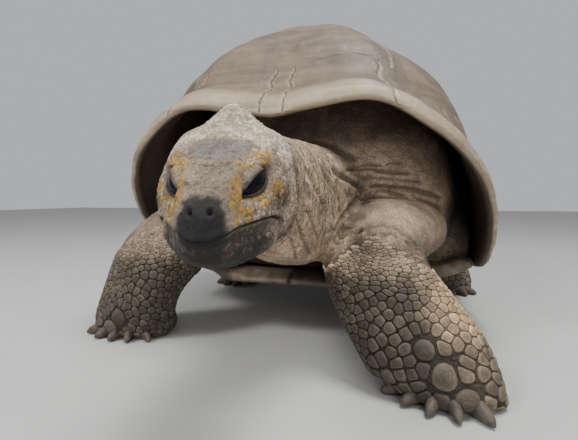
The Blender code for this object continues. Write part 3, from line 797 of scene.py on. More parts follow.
def head_push(points):
    """Relief of the head, outwards."""
    local = to_head(points)
    mirrored = folded(local)
    x, s, t = mirrored.T
    above, gap, along = mouth_gap(local)
    places, lid = eye_places(local)
    roof = t > 0.02

    brow, _ = line_distance(mirrored, BROW)
    push = 0.0042 * hump(brow, 0, 0.009)
    cheek, _ = line_distance(mirrored, CHEEK)
    push += 0.0030 * hump(cheek, 0, 0.011)
    push += 0.0050 * hump(away_from(mirrored, (0.070, -0.034, -0.026)), 0, 0.024)
    push += 0.0055 * hump(away_from(mirrored, (0.052, -0.066, 0.058)), 0, 0.022)
    push -= 0.0030 * smooth(0.016, 0.004, lid) * (places[:, 2] > 0)
    push += 0.0050 * hump(x, 0.0, 0.015) * smooth(-0.045, -0.085, s) * (t > 0.03)
    push -= 0.0052 * hump(x, 0.042, 0.018) * smooth(-0.035, -0.075, s) * roof
    crown = smooth(0.0, -0.005, s + 0.016 + 3.0 * x ** 2) * roof
    push += 0.0012 * crown
    push -= 0.0012 * hump(ahead_of_crown(x, s), -0.0155, 0.0022) * smooth(0.066, 0.058, x) * roof
    for place, reach in WRINKLES:
        push -= 0.0012 * hump(s + 5 * x ** 2 + 0.002 * ripple(points, 0.012, 8), place, 0.0014) \
            * smooth(reach, reach - 0.006, x) * roof

    beak = smooth(-0.004, 0.012, s)
    push += 0.0016 * beak * hump(above, 0.004, 0.004)
    push -= 0.0026 * beak * smooth(0.0, -0.004, above) * smooth(-0.030, -0.012, above)
    push -= 0.0036 * hump(gap, 0, 0.0015) * smooth(1.02, 0.60, along) * (t < 0.01)
    push += 0.0034 * hump(away_from(mirrored, (0.060, 0.030, -0.036)), 0, 0.016)
    for nostril in (NOSTRIL, NOSTRIL * (-1, 1, 1)):
        hole = away_from(local, nostril, (1.25, 0.8, 0.9))
        push -= 0.0060 * hump(hole, 0, 0.0026)
        push += 0.0006 * hump(hole, 0.0058, 0.0020)
    ear = np.linalg.norm((mirrored - EAR)[:, 1:], axis=1)
    push -= 0.0022 * smooth(0.011, 0.008, ear) * (x > 0.05)
    push += 0.0012 * hump(ear, 0.0125, 0.0025) * (x > 0.05)

    throat = smooth(-0.050, -0.066, t) * smooth(0.05, 0.02, s)
    way = s + 0.004 * ripple(points, 0.03, 5)
    push -= 0.0016 * throat * (1 - np.abs(np.sin(way * math.pi / 0.014)) ** 0.6)
    push += 0.0009 * ripple(points, 0.012, 6) + 0.0006 * ripple(points, 0.0055, 7)
    return push * smooth(-0.13, -0.10, s)


def shield_share(local):
    """1 on the smooth plate over the front of the skull."""
    x, s, t = folded(local).T
    side = local[:, 0] - 0.006
    plate = smooth(0.026, 0.016, s + 9.0 * side ** 2) * smooth(-0.018, -0.014, ahead_of_crown(x, s))
    return plate * smooth(0.034, 0.026, np.abs(side)) * (t > 0.02)


def painted(tone, *coats):
    """Colours drawn towards other ones, each by a share of 0 to 1."""
    for colour, share in coats:
        tone = tone + (np.asarray(colour) - tone) * np.clip(share, 0, 1)[:, None]
    return tone


def near_spot(local, spot, reach):
    """1 at a spot of the left or right side of the head, 0 well away from it."""
    return np.exp(-(((folded(local) - spot) / reach) ** 2).sum(axis=1))


def head_tone(local, tone, paints, flecks):
    """Markings of the head over the colour of the neck; the dark jaw and chin also carry painted shade."""
    x, s, t = folded(local).T
    above, gap, along = mouth_gap(local)
    places, lid = eye_places(local)
    head = smooth(-0.125, -0.095, s)
    ragged = 0.007 * flecks
    border = ahead_of_crown(x, s) + 0.0166
    crown = smooth(0.002, -0.002, border + ragged * 0.3) * smooth(0.020, 0.032, t)
    line = hump(border, 0, 0.0022) * (t > 0.02) * (x < 0.066)
    # jaw and underside of the head, where the dark jaw colour also carries painted shade
    jaw = smooth(0.002, -0.006, above) * smooth(0.020, 0.045, s) * (t < 0.02)
    jaw = np.maximum(jaw, smooth(-0.035, -0.055, t) * smooth(-0.06, 0.0, s))
    ochre = np.maximum.reduce([near_spot(local, *spot) for spot in np.array(OCHRE_SPOTS)])
    ochre = ochre * (0.85 + 1.7 * flecks)
    dots = smooth(0.10, 0.55, ripple(local, 0.0050, 14)) * smooth(-0.02, 0.02, s) * smooth(0.080, 0.060, s)
    lumps = smooth(0.15, 0.55, ripple(local, 0.0065, 15))
    rusty = near_spot(local, (0.066, 0.016, 0.000), (0.014, 0.020, 0.014))
    muzzle = smooth(0.074, 0.084, s + 0.25 * t - 11.0 * x ** 2 + ragged)
    muzzle = muzzle * smooth(0.029, 0.020, x + 0.5 * ragged)
    rims = smooth(0.0055, 0.0015, lid) * (places[:, 2] > 0)
    chin = smooth(-0.022, -0.040, t + ragged) * smooth(0.020, 0.055, s)
    return painted(
        tone,
        (paints.face, head),
        (paints.crest, head * crown),
        (paints.temple, 0.7 * near_spot(local, (0.071, -0.044, 0.034), 0.016)),
        (np.array(paints.crest) * 1.35, 0.7 * line),
        (paints.shield, 0.8 * shield_share(local) * (0.8 + 0.5 * flecks)),
        # Painted shade: the jaw and throat take a jaw colour darker than their own, for the shade under
        # the head
        (paints.jaw, 0.85 * jaw * head),
        (paints.ochre, 0.92 * smooth(0.10, 0.70, ochre)),
        (paints.jaw, 0.50 * dots * (above > 0)),
        (paints.face, 0.45 * lumps * jaw),
        (paints.jaw, 0.85 * rusty * (0.9 + flecks) * (above > 0)),
        (paints.nose, 0.95 * muzzle * smooth(-0.012, -0.006, above)),
        (paints.nose, 0.70 * smooth(0.080, 0.092, s + 0.5 * ragged)),
        (paints.nose, 0.85 * rims),
        # Painted shade: the underside of the chin is darkened nearly to black
        (paints.nose, 0.75 * chin),
        (paints.nose, 0.9 * smooth(0.0024, 0.0010, gap) * smooth(0.85, 0.65, along)))


def hide_tone(points):
    """Colour of the animal at each point, the same for its skin and for the scales on it; it has painted
    shade under the shell, on the shaded forelegs and near the floor, and a painted highlight on the
    forelegs' top rows.
    """
    paints = bpy.context.scene.tortoise_colours
    x, y, z = points.T
    patches = ripple(points, 0.055, 11)
    flecks = 0.7 * ripple(points, 0.0090, 12) + 0.5 * ripple(points, 0.0042, 13)
    # 1 high up inside the dome, where painted shade darkens the skin
    under_shell_shade = smooth(-0.030, 0.020, z - 0.42 - 0.5 * (y + 0.45))
    foreleg = smooth(0.24, 0.20, z) * smooth(-0.35, -0.42, y)
    across = np.where(x > 0, x - 0.245 - 0.25 * (0.20 - z), -x - 0.330 - 0.25 * (0.20 - z))
    shaded = np.maximum(smooth(0.03, -0.03, across), x < 0)
    tone = painted(
        np.tile(np.array(paints.leg), (len(points), 1)),
        (paints.shoulder, smooth(0.20, 0.25, z) * smooth(-0.60, -0.50, y)),
        # Painted shadow: skin far back and high up under the shell is darkened for the shade of the shell,
        # over skin that is darker there too
        (paints.shadow, smooth(-0.35, -0.20, y) * smooth(0.18, 0.26, z)),
        (paints.shadow, 0.7 * under_shell_shade * smooth(-0.60, -0.50, y)),
        (paints.leg_outer, 0.8 * foreleg * smooth(-0.03, 0.05, across)),
        # Painted shade: the inner side of the left foreleg and the whole right foreleg are darkened for
        # the shade they stand in
        (paints.leg_inner_shade, 0.85 * foreleg * shaded * smooth(0.225, 0.180, z)),
        # Painted highlight: the top rows of the forelegs are lightened for the light falling on them from
        # above
        (paints.arm, 0.50 * smooth(0.165, 0.215, z) * foreleg),
        (paints.neck, neck_share(points)),
        (paints.rust, 0.30 * smooth(0.1, 0.6, patches) * smooth(0.2, 0.26, z)),
        (paints.arm, smooth(0.085, 0.055, arm_gap(points))),
        # Painted shade: the feet darken towards the floor for the shade near the ground
        (paints.sole, 0.85 * smooth(0.14, 0.07, z)))
    close = np.nonzero(near_head(points))[0]
    tone[close] = head_tone(to_head(points[close]), tone[close], paints, flecks[close])
    return np.clip(tone * (1 + 0.22 * patches + 0.22 * flecks)[:, None], 0.004, 0.9)


def sculpted(mesh):
    """Evens the skin out and works its folds and the head's relief into it."""
    points = averaged(points_of(mesh), edges_of(mesh), 6)
    move_points(mesh, points)
    push = fold_push(points)
    near = np.nonzero(near_head(points))[0]
    push[near] += head_push(points[near])
    points = points + normals_of(mesh) * push[:, None]
    move_points(mesh, points)
    return points


def with_eye_hollows(points, near):
    """Presses the skin in behind the lids, so that the eyeball shows through their opening."""
    local = to_head(points[near])
    places, lid = eye_places(local)
    share = smooth(LID_REACH - 0.0005, LID_REACH - 0.003, lid) * (places[:, 2] > 0)
    deep = np.minimum(places[:, 2], eye_height(places[:, 0], places[:, 1]) - 0.004)
    places[:, 2] += (deep - places[:, 2]) * share
    moved = places @ EYE_FRAME.T + EYE_PLACE
    moved[:, 0] *= np.sign(local[:, 0])
    result = points.copy()
    pressed = share > 0
    result[near[pressed]] = from_head(moved[pressed])
    return result


# lids from the edge of the opening outwards: distance from it and height over the eyeball
LID_PROFILE = (
    (-0.0014, -0.0004), (0.0, 0.0002), (0.0003, 0.0016), (0.0008, 0.0026), (0.0016, 0.0030),
    (0.0026, 0.0028), (0.0034, 0.0021), (0.0040, 0.0022), (0.0048, 0.0032), (0.0058, 0.0040),
    (0.0068, 0.0042), (0.0078, 0.0044), (0.0087, 0.0044), (0.0095, 0.0044), (0.0102, 0.0044),
)


def lid_patch(side, tree):
    """Rings of points of both lids of one eye, from the edge of the opening out to the skin."""
    turn = full_turn(120)
    turn = turn - 0.30 * np.sin(2 * turn)
    edge = lid_edge(turn)
    mirror = np.array((side, 1, 1))
    inward = Vector(from_head(-EYE_LOOK * mirror) - HEAD_CENTRE)
    rows = []
    for outward, height in LID_PROFILE:
        p = LID_MIDDLE + (edge + outward) * np.cos(turn)
        q = (edge + outward) * np.sin(turn)
        level = eye_height(p, q) + height
        share = float(smooth(0.0020, LID_REACH - 0.0005, outward))
        sink = 0.0008 * float(smooth(LID_REACH - 0.001, LID_PROFILE[-1][0], outward))
        if share > 0:
            above = np.stack((p, q, np.full(len(p), 0.05)), axis=1) @ EYE_FRAME.T + EYE_PLACE
            for index, start in enumerate(from_head(above * mirror) + SHIFT):
                hit = tree.ray_cast(Vector(start), inward, 0.08)
                if hit[0]:
                    level[index] += (0.05 - hit[3] - sink - level[index]) * share
        local = np.stack((p, q, level), axis=1) @ EYE_FRAME.T + EYE_PLACE
        rows.append(from_head(local * mirror))
    return np.array(rows)


HIDDEN_SHARE = 0.02          # of the faces left where nobody sees the hide
CALM_SHARE = 0.09            # and on its rear half and under the leg scales


def make_hide(voxel):
    """The whole skin, with the lids worked into it, under 200,000 triangles."""
    hide = rough_hide(voxel)
    press_creases(skin_tree(hide))
    thinned(hide, out_of_sight(points_of(hide.data)), HIDDEN_SHARE)
    points = points_of(hide.data)
    calm = (points[:, 1] > -0.30).astype(float)
    legs = np.zeros(len(points))
    for line, *_ in LIMBS.values():
        gap, _along = line_distance(points, np.array(line)[3:, :3])
        legs = np.maximum(legs, smooth(0.125, 0.115, gap))
    legs *= 1 - near_neck(points)
    thinned(hide, np.maximum(calm, legs), CALM_SHARE)
    for test in (near_neck, near_head, near_face, near_creases):
        subdivided(hide, test)
    points = sculpted(hide.data)
    tree = skin_tree(hide)
    lids = []
    for side in (1, -1):
        rows = lid_patch(side, tree)
        faces = grid_faces(*rows.shape[:2])
        lids.append(open_sheet(f"lids_{side}", rows.reshape(-1, 3), faces, EYE_PLACE * (side, 1, 1)))
    move_points(hide.data, with_eye_hollows(points, np.nonzero(near_head(points))[0]))
    join([hide] + lids)
    hide.data.shade_smooth()
    mark_hide(hide.data)
    return hide


def hollows(mesh):
    """How far each point lies under the evened-out skin round it, -1 to 1."""
    points = points_of(mesh)
    even = averaged(points, edges_of(mesh), 4)
    return np.clip(((even - points) * normals_of(mesh)).sum(axis=1) / 0.0005, -1, 1)


def mark_hide(mesh):
    """Stores on the skin's points what its material reads."""
    points = points_of(mesh)
    scaled = np.zeros(len(points))
    for limb in LIMBS:
        scaled = np.maximum(scaled, leg_sizes(limb)(points) > 0)
    local = to_head(points)
    neck = neck_share(points)
    face = smooth(-0.125, -0.100, local[:, 1]) * near_head(points)
    arm = smooth(0.080, 0.050, arm_gap(points))
    under = smooth(0.20, 0.26, points[:, 2]) * (1 - neck)
    grain = 0.75 + 0.25 * neck - 0.55 * arm - 0.45 * face - 0.30 * under
    horny = face * smooth(0.064, 0.074, local[:, 1]) + face * shield_share(local)
    grain = grain * (1 - 0.75 * np.clip(horny, 0, 1))
    put_tone(mesh, hide_tone(points))
    # Painted shade: hollows, creases and the skin under the leg scales are marked for darkening
    gap, depth = creases(points)
    hollow_shade = np.maximum(hollows(mesh), 110 * depth * hump(gap, 0.9, 0.7))
    put_values(mesh, "hollow_shade", np.maximum(hollow_shade, 0.55 * scaled))
    put_values(mesh, "grain", grain)
    put_values(mesh, "lay", fold_lay(points))


def open_sheet(name, points, faces, head_middle):
    """A sheet that is not closed, its faces turned away from a point in the head's frame."""
    mesh = new_mesh(name, points, faces)
    face = mesh.polygons[0]
    if face.normal.dot(face.center - Vector(from_head(head_middle) + SHIFT)) < 0:
        mesh.flip_normals()
    mesh.shade_smooth()
    return linked(name, mesh)


# ------------------------------------------------------------------ scales
# a scale: how many corners it has, and its rings from its foot to its middle as shares of its
# width and height
BROAD_SCALE = (14, ((1.00, 0.0), (0.93, 0.46), (0.80, 0.84), (0.62, 0.88), (0.34, 1.04)))
SMALL_SCALE = (8, ((1.00, 0.0), (0.86, 0.62), (0.60, 0.94), (0.30, 1.00)))
SQUARENESS = 9.0             # of the corners of a scale's outline
KNOB_WIDTH = 0.031           # wider scales than this stand alone, as rounded knobs
UNBENT = (lambda places: places,) * 2


def spots(points, triangles, size_at, seed, rounds):
    """Places on a skin, as far apart as the sizes asked for, evened out like real scales."""
    random = np.random.default_rng(seed)
    corners = points[triangles]
    middles = corners.mean(axis=1)
    areas = np.linalg.norm(np.cross(corners[:, 1] - corners[:, 0],
                                    corners[:, 2] - corners[:, 0]), axis=1) / 2
    sizes = size_at(middles)
    share = np.where(sizes > 0, areas / np.maximum(sizes, 1e-5) ** 2, 0)
    count = int(share.sum() / 0.80)
    picks = random.choice(len(triangles), size=count * 30, p=share / share.sum())
    weights = random.dirichlet((1, 1, 1), size=len(picks))
    cloud = (corners[picks] * weights[..., None]).sum(axis=1)
    seeds = cloud[random.choice(len(cloud), size=count, replace=False)]
    for _ in range(rounds):
        tree = place_tree(seeds)
        owner = np.array([tree.find(Vector(spot))[1] for spot in cloud])
        held = np.bincount(owner, minlength=count)
        for axis in range(3):
            total = np.bincount(owner, weights=cloud[:, axis], minlength=count)
            seeds[:, axis] = np.where(held > 0, total / np.maximum(held, 1), seeds[:, axis])
    return seeds


def with_knobs(seeds, size_at, knobs):
    """Clears room among the seeds for a few great scales, and adds them."""
    for x, y, z, width in knobs:
        seeds = seeds[away_from(seeds, (x, y, z)) > width / 2 + 0.38 * size_at(seeds)]
    return np.concatenate((seeds, np.array(knobs)[:, :3])) if knobs else seeds


def scale_outline(index, feet, near, wide, side, front, angle, gap):
    """Half-widths of one scale at each angle, where its neighbours leave it room."""
    own = 0.56 if wide[index] > KNOB_WIDTH else 0.82
    inverse = np.full(len(angle), (1 / (wide[index] * own)) ** SQUARENESS)
    for spot, other, distance in near:
        away = np.array(spot) - feet[index]
        flat = np.array((away @ side, away @ front))
        way = flat / max(np.linalg.norm(flat), 1e-9)
        facing = np.cos(angle) * way[0] + np.sin(angle) * way[1]
        room = distance * wide[index] / (wide[index] + wide[other])
        inverse += (np.maximum(facing, 0) / room) ** SQUARENESS
    outline = inverse ** (-1 / SQUARENESS) - gap * wide[index] / 2
    return np.maximum(outline, wide[index] * 0.15)


def scale_sheet(name, skin, seeds, wide, unwrap, form, gap, seed, bend=UNBENT):
    """Flat outlines of scales laid on the skin, ready to be raised.

    The two functions in bend bring places into the space that the seeds lie in, and back.
    """
    random = np.random.default_rng(seed)
    points, triangles = skin
    stretch, straight = bend
    sides, profile = form
    space = bvh(stretch(points), triangles)
    feet, ups = landed(space, seeds)
    middles = place_tree(feet)
    turn = full_turn(sides)
    places = unwrap(straight(feet))
    body, rings, tints, maps, heights, owners, faces = [], [], [], [], [], [], []
    for index in range(len(feet)):
        near = [row for row in middles.find_n(Vector(feet[index]), 13) if row[1] != index]
        up = unit(ups[index] + sum(ups[row[1]] for row in near[:6]) * 0.15)
        side = unit(np.cross(up, (0.31, 0.17, 0.93)))
        front = np.cross(up, side)
        angle = turn + random.uniform(0, 2 * math.pi / sides)
        outline = scale_outline(index, feet, near, wide, side, front, angle, gap)
        first, size = len(body), float(outline.mean())
        tint, tilt = random.uniform(), random.normal(0, 0.08, 2)
        for share, height in profile + ((0.0, profile[-1][1]),):
            count = sides if share else 1
            flat = np.stack((np.cos(angle), np.sin(angle)), axis=1)[:count]
            flat = flat * outline[:count, None] * share
            body.extend(feet[index] + side * row[0] + front * row[1] for row in flat)
            rings.extend([share] * count)
            tints.extend([tint] * count)
            owners.extend([index] * count)
            dome = 1.3 * (1 - share ** 2) if wide[index] > KNOB_WIDTH else height
            heights.extend(dome * (1 + (row @ tilt) / size) * size for row in flat)
            maps.extend(places[index] + row / size * 0.0014 for row in flat)
        for ring in range(len(profile) - 1):
            for step in range(sides):
                after = (step + 1) % sides
                low, high = first + ring * sides, first + (ring + 1) * sides
                faces.append((low + step, low + after, high + after, high + step))
        last = first + (len(profile) - 1) * sides
        faces.extend((last + step, last + (step + 1) % sides, last + sides)
                     for step in range(sides))
    laid, _ups = landed(space, body)
    laid, lifts = landed(bvh(points, triangles), straight(laid))
    owners = np.array(owners)
    even = np.stack([np.bincount(owners, weights=lifts[:, axis]) for axis in range(3)], axis=1)
    lifts = unit(unit(even)[owners] + 0.35 * lifts)
    mesh = new_mesh(name, laid, faces)
    if mesh.polygons[0].normal.dot(Vector(lifts[faces[0][0]])) < 0:
        mesh.flip_normals()
    put_tone(mesh, hide_tone(laid))
    for field, values in (("lift", lifts), ("ring", rings), ("tint", tints), ("rise", heights)):
        put_values(mesh, field, values)
    layer = mesh.uv_layers.new(name="OFBake")
    corners = values_of(mesh.loops, "vertex_index", 1, np.int32)[:, 0]
    layer.data.foreach_set("uv", np.array(maps, np.float32)[corners].ravel())
    return linked(name, mesh)


class Nodes:
    """A node tree being put together: each call adds a node."""

    def node(self, kind, inputs=(), **settings):
        item = self.tree.nodes.new(kind)
        for name, value in settings.items():
            setattr(item, name, value)
        for socket, value in dict(inputs).items():
            self.feed(item.inputs[socket], value)
        return item

    def feed(self, socket, value):
        if isinstance(value, bpy.types.NodeSocket):
            self.tree.links.new(value, socket)
        elif socket.type == "RGBA":
            socket.default_value = (*value, 1) if hasattr(value, "__len__") else (value,) * 3 + (1,)
        else:
            socket.default_value = value

    def maths(self, operation, first, second=0.0):
        return self.node("ShaderNodeMath", {0: first, 1: second}, operation=operation).outputs[0]

    def times(self, first, second):
        return self.maths("MULTIPLY", first, second)

    def less(self, first, second):
        return self.maths("SUBTRACT", first, second)


class NodeTree(Nodes):
    """A Geometry Nodes tree being put together."""

    def __init__(self, name):
        self.tree = bpy.data.node_groups.new(name, "GeometryNodeTree")
        self.names = {}
        self.start = self.node("NodeGroupInput")
        self.end = self.node("NodeGroupOutput")
        self.input("Geometry", "NodeSocketGeometry")
        self.tree.interface.new_socket("Geometry", in_out="OUTPUT",
                                       socket_type="NodeSocketGeometry")

    def input(self, name, kind, default=None):
        socket = self.tree.interface.new_socket(name, in_out="INPUT", socket_type=kind)
        if default is not None:
            socket.default_value = default
        self.names[name] = socket.identifier
        return self.start.outputs[name]

    def attribute(self, name, kind="FLOAT"):
        item = self.node("GeometryNodeInputNamedAttribute", {"Name": name}, data_type=kind)
        return item.outputs["Attribute"]

    def over_floor(self, shape):
        """Lifts whatever hangs lower than the floor up to it."""
        parts = self.node("ShaderNodeSeparateXYZ", {
            0: self.node("GeometryNodeInputPosition").outputs[0]}).outputs
        level = self.maths("MAXIMUM", parts["Z"], FLOOR_GAP)
        where = self.node("ShaderNodeCombineXYZ", {"X": parts["X"], "Y": parts["Y"], "Z": level})
        return self.node("GeometryNodeSetPosition", {"Geometry": shape,
                                                     "Position": where.outputs[0]}).outputs[0]

    def finish(self, shape):
        """Makes instances real, shades them smooth and gives them their material."""
        real = self.node("GeometryNodeRealizeInstances", {0: self.over_floor(shape)})
        even = self.node("GeometryNodeSetShadeSmooth", {0: real.outputs[0]})
        material = self.input("Material", "NodeSocketMaterial")
        paint = self.node("GeometryNodeSetMaterial", {"Geometry": even.outputs[0],
                                                      "Material": material})
        self.tree.links.new(paint.outputs[0], self.end.inputs[0])

    def worked_into(self, item, values):
        """Runs the tree on an object and leaves a plain mesh."""
        modifier = item.modifiers.new(self.tree.name, "NODES")
        modifier.node_group = self.tree
        for name, value in values.items():
            modifier[self.names[name]] = value
        return applied(item)


def raised_scales():
    """Raises flat outlines into scales, with a foot set into the skin."""
    tree = NodeTree("raised scales")
    share = tree.input("Height share", "NodeSocketFloat", 0.2)
    skirt = tree.input("Skirt depth", "NodeSocketFloat", 0.0016)
    foot = tree.maths("GREATER_THAN", tree.attribute("ring"), 0.99)
    height = tree.less(tree.times(tree.attribute("rise"), share), tree.times(foot, skirt))
    offset = tree.node("ShaderNodeVectorMath", {0: tree.attribute("lift", "FLOAT_VECTOR"),
                                                "Scale": height}, operation="SCALE")
    move = tree.node("GeometryNodeSetPosition", {"Geometry": tree.start.outputs["Geometry"],
                                                 "Offset": offset.outputs[0]})
    tree.finish(move.outputs[0])
    return tree


def around_line(line, points):
    """Distance of points from a limb's line, how far along it they lie, and their way from it."""
    stations = np.array(line)[:, :3]
    gap, along = line_distance(points, stations)
    return gap, along, points - curve(stations, along * (len(stations) - 1))


def spread_out(turn, along):
    """Places in the unwrapped map, with an empty margin round them."""
    return np.stack((0.04 + 0.92 * (turn / (2 * math.pi) + 0.5), 0.04 + 0.92 * along), axis=1)


def limb_places(line, facing):
    """Gives the function that unwraps points of a limb: round it and along it."""
    front = unit(facing)
    side = unit(np.cross(DOWN, front))

    def unwrap(points):
        _gap, along, away = around_line(line, points)
        return spread_out(np.arctan2(away @ side, away @ np.cross(side, DOWN)), along)
    return unwrap


def head_places(points):
    """Unwraps points of the head: round its long axis and along it."""
    local = to_head(points)
    turn = np.arctan2(local[:, 0], local[:, 2] + 0.01)
    return spread_out(turn, (local[:, 1] + 0.13) / 0.24)


def leg_side(limb):
    return 1 if "left" in limb else -1


def leg_sizes(limb):
    """Gives the function for the widths of a leg's scales, which is 0 where it has none."""
    line, side = LIMBS[limb][0], leg_side(limb)

    def fore(points):
        """Rows of fine scales at the top, broad ones lower down."""
        gap, along, away = around_line(line, points)
        z = points[:, 2]
        outer = smooth(-0.05, 0.06, away[:, 0] * side)
        inner = smooth(-0.045, -0.085, away[:, 0] * side)
        behind = smooth(-0.01, 0.03, away[:, 1])
        upper, low = smooth(0.165, 0.215, z), smooth(0.13, 0.03, z)
        size = 0.0205 - 0.0045 * outer + 0.0060 * low - 0.0080 * inner - 0.0050 * behind
        size = size + (0.0115 - size) * upper
        top = z < 0.246 - 0.055 * smooth(0.0, 0.09, np.abs(away[:, 0])) - 0.03 * behind
        return np.where(top & (along > 0.28) & (gap < 0.122) & (z > 0.004), size, 0)

    def hind(points):
        gap, along, _away = around_line(line, points)
        z = points[:, 2]
        inside = (gap < 0.105) & (z < 0.19) & (z > 0.004) & (along > 0.35)
        return np.where(inside, 0.013 + 0.010 * smooth(0.16, 0.03, z), 0)
    return fore if "fore" in limb else hind


# great scales of a foreleg, from the middle of its sole: outwards, ahead, up, width
KNOBS = ((-0.037, 0.055, 0.087, 0.033), (-0.009, 0.066, 0.054, 0.042), (0.021, 0.070, 0.025, 0.040))
# heights over the floor and what they are stretched to, so that the upper rows come out low
STRETCH = ((0.0, 0.16, 0.20, 0.30), (0.0, 0.16, 0.228, 0.47))


def stretched(points, table=STRETCH):
    return np.column_stack((points[:, :2], np.interp(points[:, 2], *table)))


def unstretched(points):
    return stretched(points, STRETCH[::-1])


def head_sizes(points):
    """Widths of the scales of the head, and 0 where its skin is smooth."""
    local = to_head(points)
    x, s, t = folded(local).T
    places, lid = eye_places(local)
    above, gap, _along = mouth_gap(local)
    border = ahead_of_crown(x, s) + 0.019
    size = 0.0057 + 0.0012 * smooth(0.045, 0.062, x) * smooth(0.0, -0.03, s)
    size = size - 0.0020 * smooth(0.030, 0.012, lid) - 0.0008 * smooth(0.03, 0.06, s)
    size = size + 0.0016 * (hump(t, -0.030, 0.015) * smooth(0.0, 0.03, s))
    bare = (lid < LID_REACH + 0.0005) & (places[:, 2] > 0)
    bare |= (border > 0) & (x < 0.034 + 0.12 * np.maximum(0.02 - s, 0)) & (t > 0.012)
    bare |= (s > 0.062) & (x < 0.034)
    bare |= (gap < 0.0032) | (t < -0.056) | (s < -0.100) | ((above < 0) & (s > 0.072))
    return np.where(near_head(points) & ~bare, size, 0)


# ------------------------------------------------------------------ shell, plate, eyes, nails
FRONT, TAIL_END = -0.47, 0.46
# degrees round the edge from the nape where two margin plates meet
MARGIN_TURNS = (2.2, 21.5, 38.0, 53.0, 68.0, 84.0, 100.0, 116.0, 132.0, 148.0, 164.0)
# the row of plates along the back: y of each seam across it, and its half-width from end to end
VERTEBRAL_SEAMS = (-0.285, -0.085, 0.130, 0.330)
VERTEBRAL_WIDTHS = (0.200, 0.150, 0.120, 0.115, 0.100, 0.070)
# seams down each side: y at the row along the back and at the margin, and where it starts
COSTAL_SEAMS = ((-0.185, -0.255, 0.185), (0.020, 0.020, 0.190), (0.235, 0.290, 0.170))
COSTAL_END = 0.44
SEAM_REACHES = (0.010, 0.0055)       # how near a seam the shell is made finer, twice
PLASTRON_SEAMS = (-0.335, -0.215, -0.030, 0.120, 0.245)
PLASTRON_LIP = 0.012         # how far in from its ends the belly plate grows to its full thickness


def margin_rise(turn):
    """How far up the shell its margin plates reach."""
    turn = np.asarray(turn, float)
    return 0.27 + 0.02 * np.cos(turn) - 0.012 * np.cos(np.abs(turn) * 11.25)


def vertebral_edge(way):
    """Zigzag edge of the row of plates along the back: y and half-width."""
    y = FRONT + (TAIL_END - FRONT) * way
    base = np.interp(y, (FRONT,) + VERTEBRAL_SEAMS + (TAIL_END,), VERTEBRAL_WIDTHS)
    middles = np.array([row[0] for row in COSTAL_SEAMS])
    near = np.min(np.abs(y[:, None] - middles[None, :]), axis=1)
    return y, base + 0.055 * smooth(0.10, 0.0, near)


def on_dome(x, y):
    """Points of the dome's outer surface over the given plan places."""
    x, y = np.broadcast_arrays(np.asarray(x, float), np.asarray(y, float))
    low, high = np.full(x.shape, 0.05), np.full(x.shape, 0.999)
    for _ in range(26):
        middle = (low + high) / 2
        turn = np.arctan2(x, -(y - SHELL_APEX_Y * smooth(0.0, 0.55, middle)))
        point = shell_surface(turn, middle)
        outside = np.hypot(point[..., 0] - SHELL_MIDDLE_X, point[..., 1]) > np.hypot(x, y)
        low, high = np.where(outside, middle, low), np.where(outside, high, middle)
    return shell_surface(turn, (low + high) / 2)


def shell_seams():
    """Points along every seam between the shell's plates, each line with its strength."""
    found = []
    turn = np.linspace(-math.pi, math.pi, 1600)
    found.append((shell_surface(turn, margin_rise(turn)), 0.35))
    for side in (1, -1):
        for degrees in MARGIN_TURNS:
            angle = side * math.radians(degrees)
            rise = np.linspace(0.01, 1.0, 70)
            wander = 0.010 * np.sin(rise * 19 + degrees) * rise
            found.append((shell_surface(angle + wander, rise * margin_rise(angle)), 1.0))
        y, x = vertebral_edge(np.linspace(0, 1, 500))
        found.append((on_dome(side * x, y), 0.9))
        for start, end, inner in COSTAL_SEAMS:
            step = np.linspace(0, 1, 200)
            line = on_dome(side * (inner + (COSTAL_END - inner) * step),
                           start + (end - start) * step + 0.006 * np.sin(step * 9))
            found.append((line, 0.8))
    for middle in VERTEBRAL_SEAMS:
        across = np.linspace(-1, 1, 160)
        half = np.interp(middle, *vertebral_edge(np.linspace(0, 1, 500)))
        bow = 0.010 * np.cos(across * 3.1) + 0.004 * np.sin(across * 11)
        found.append((on_dome(across * half, middle + bow), 0.8))
    return found


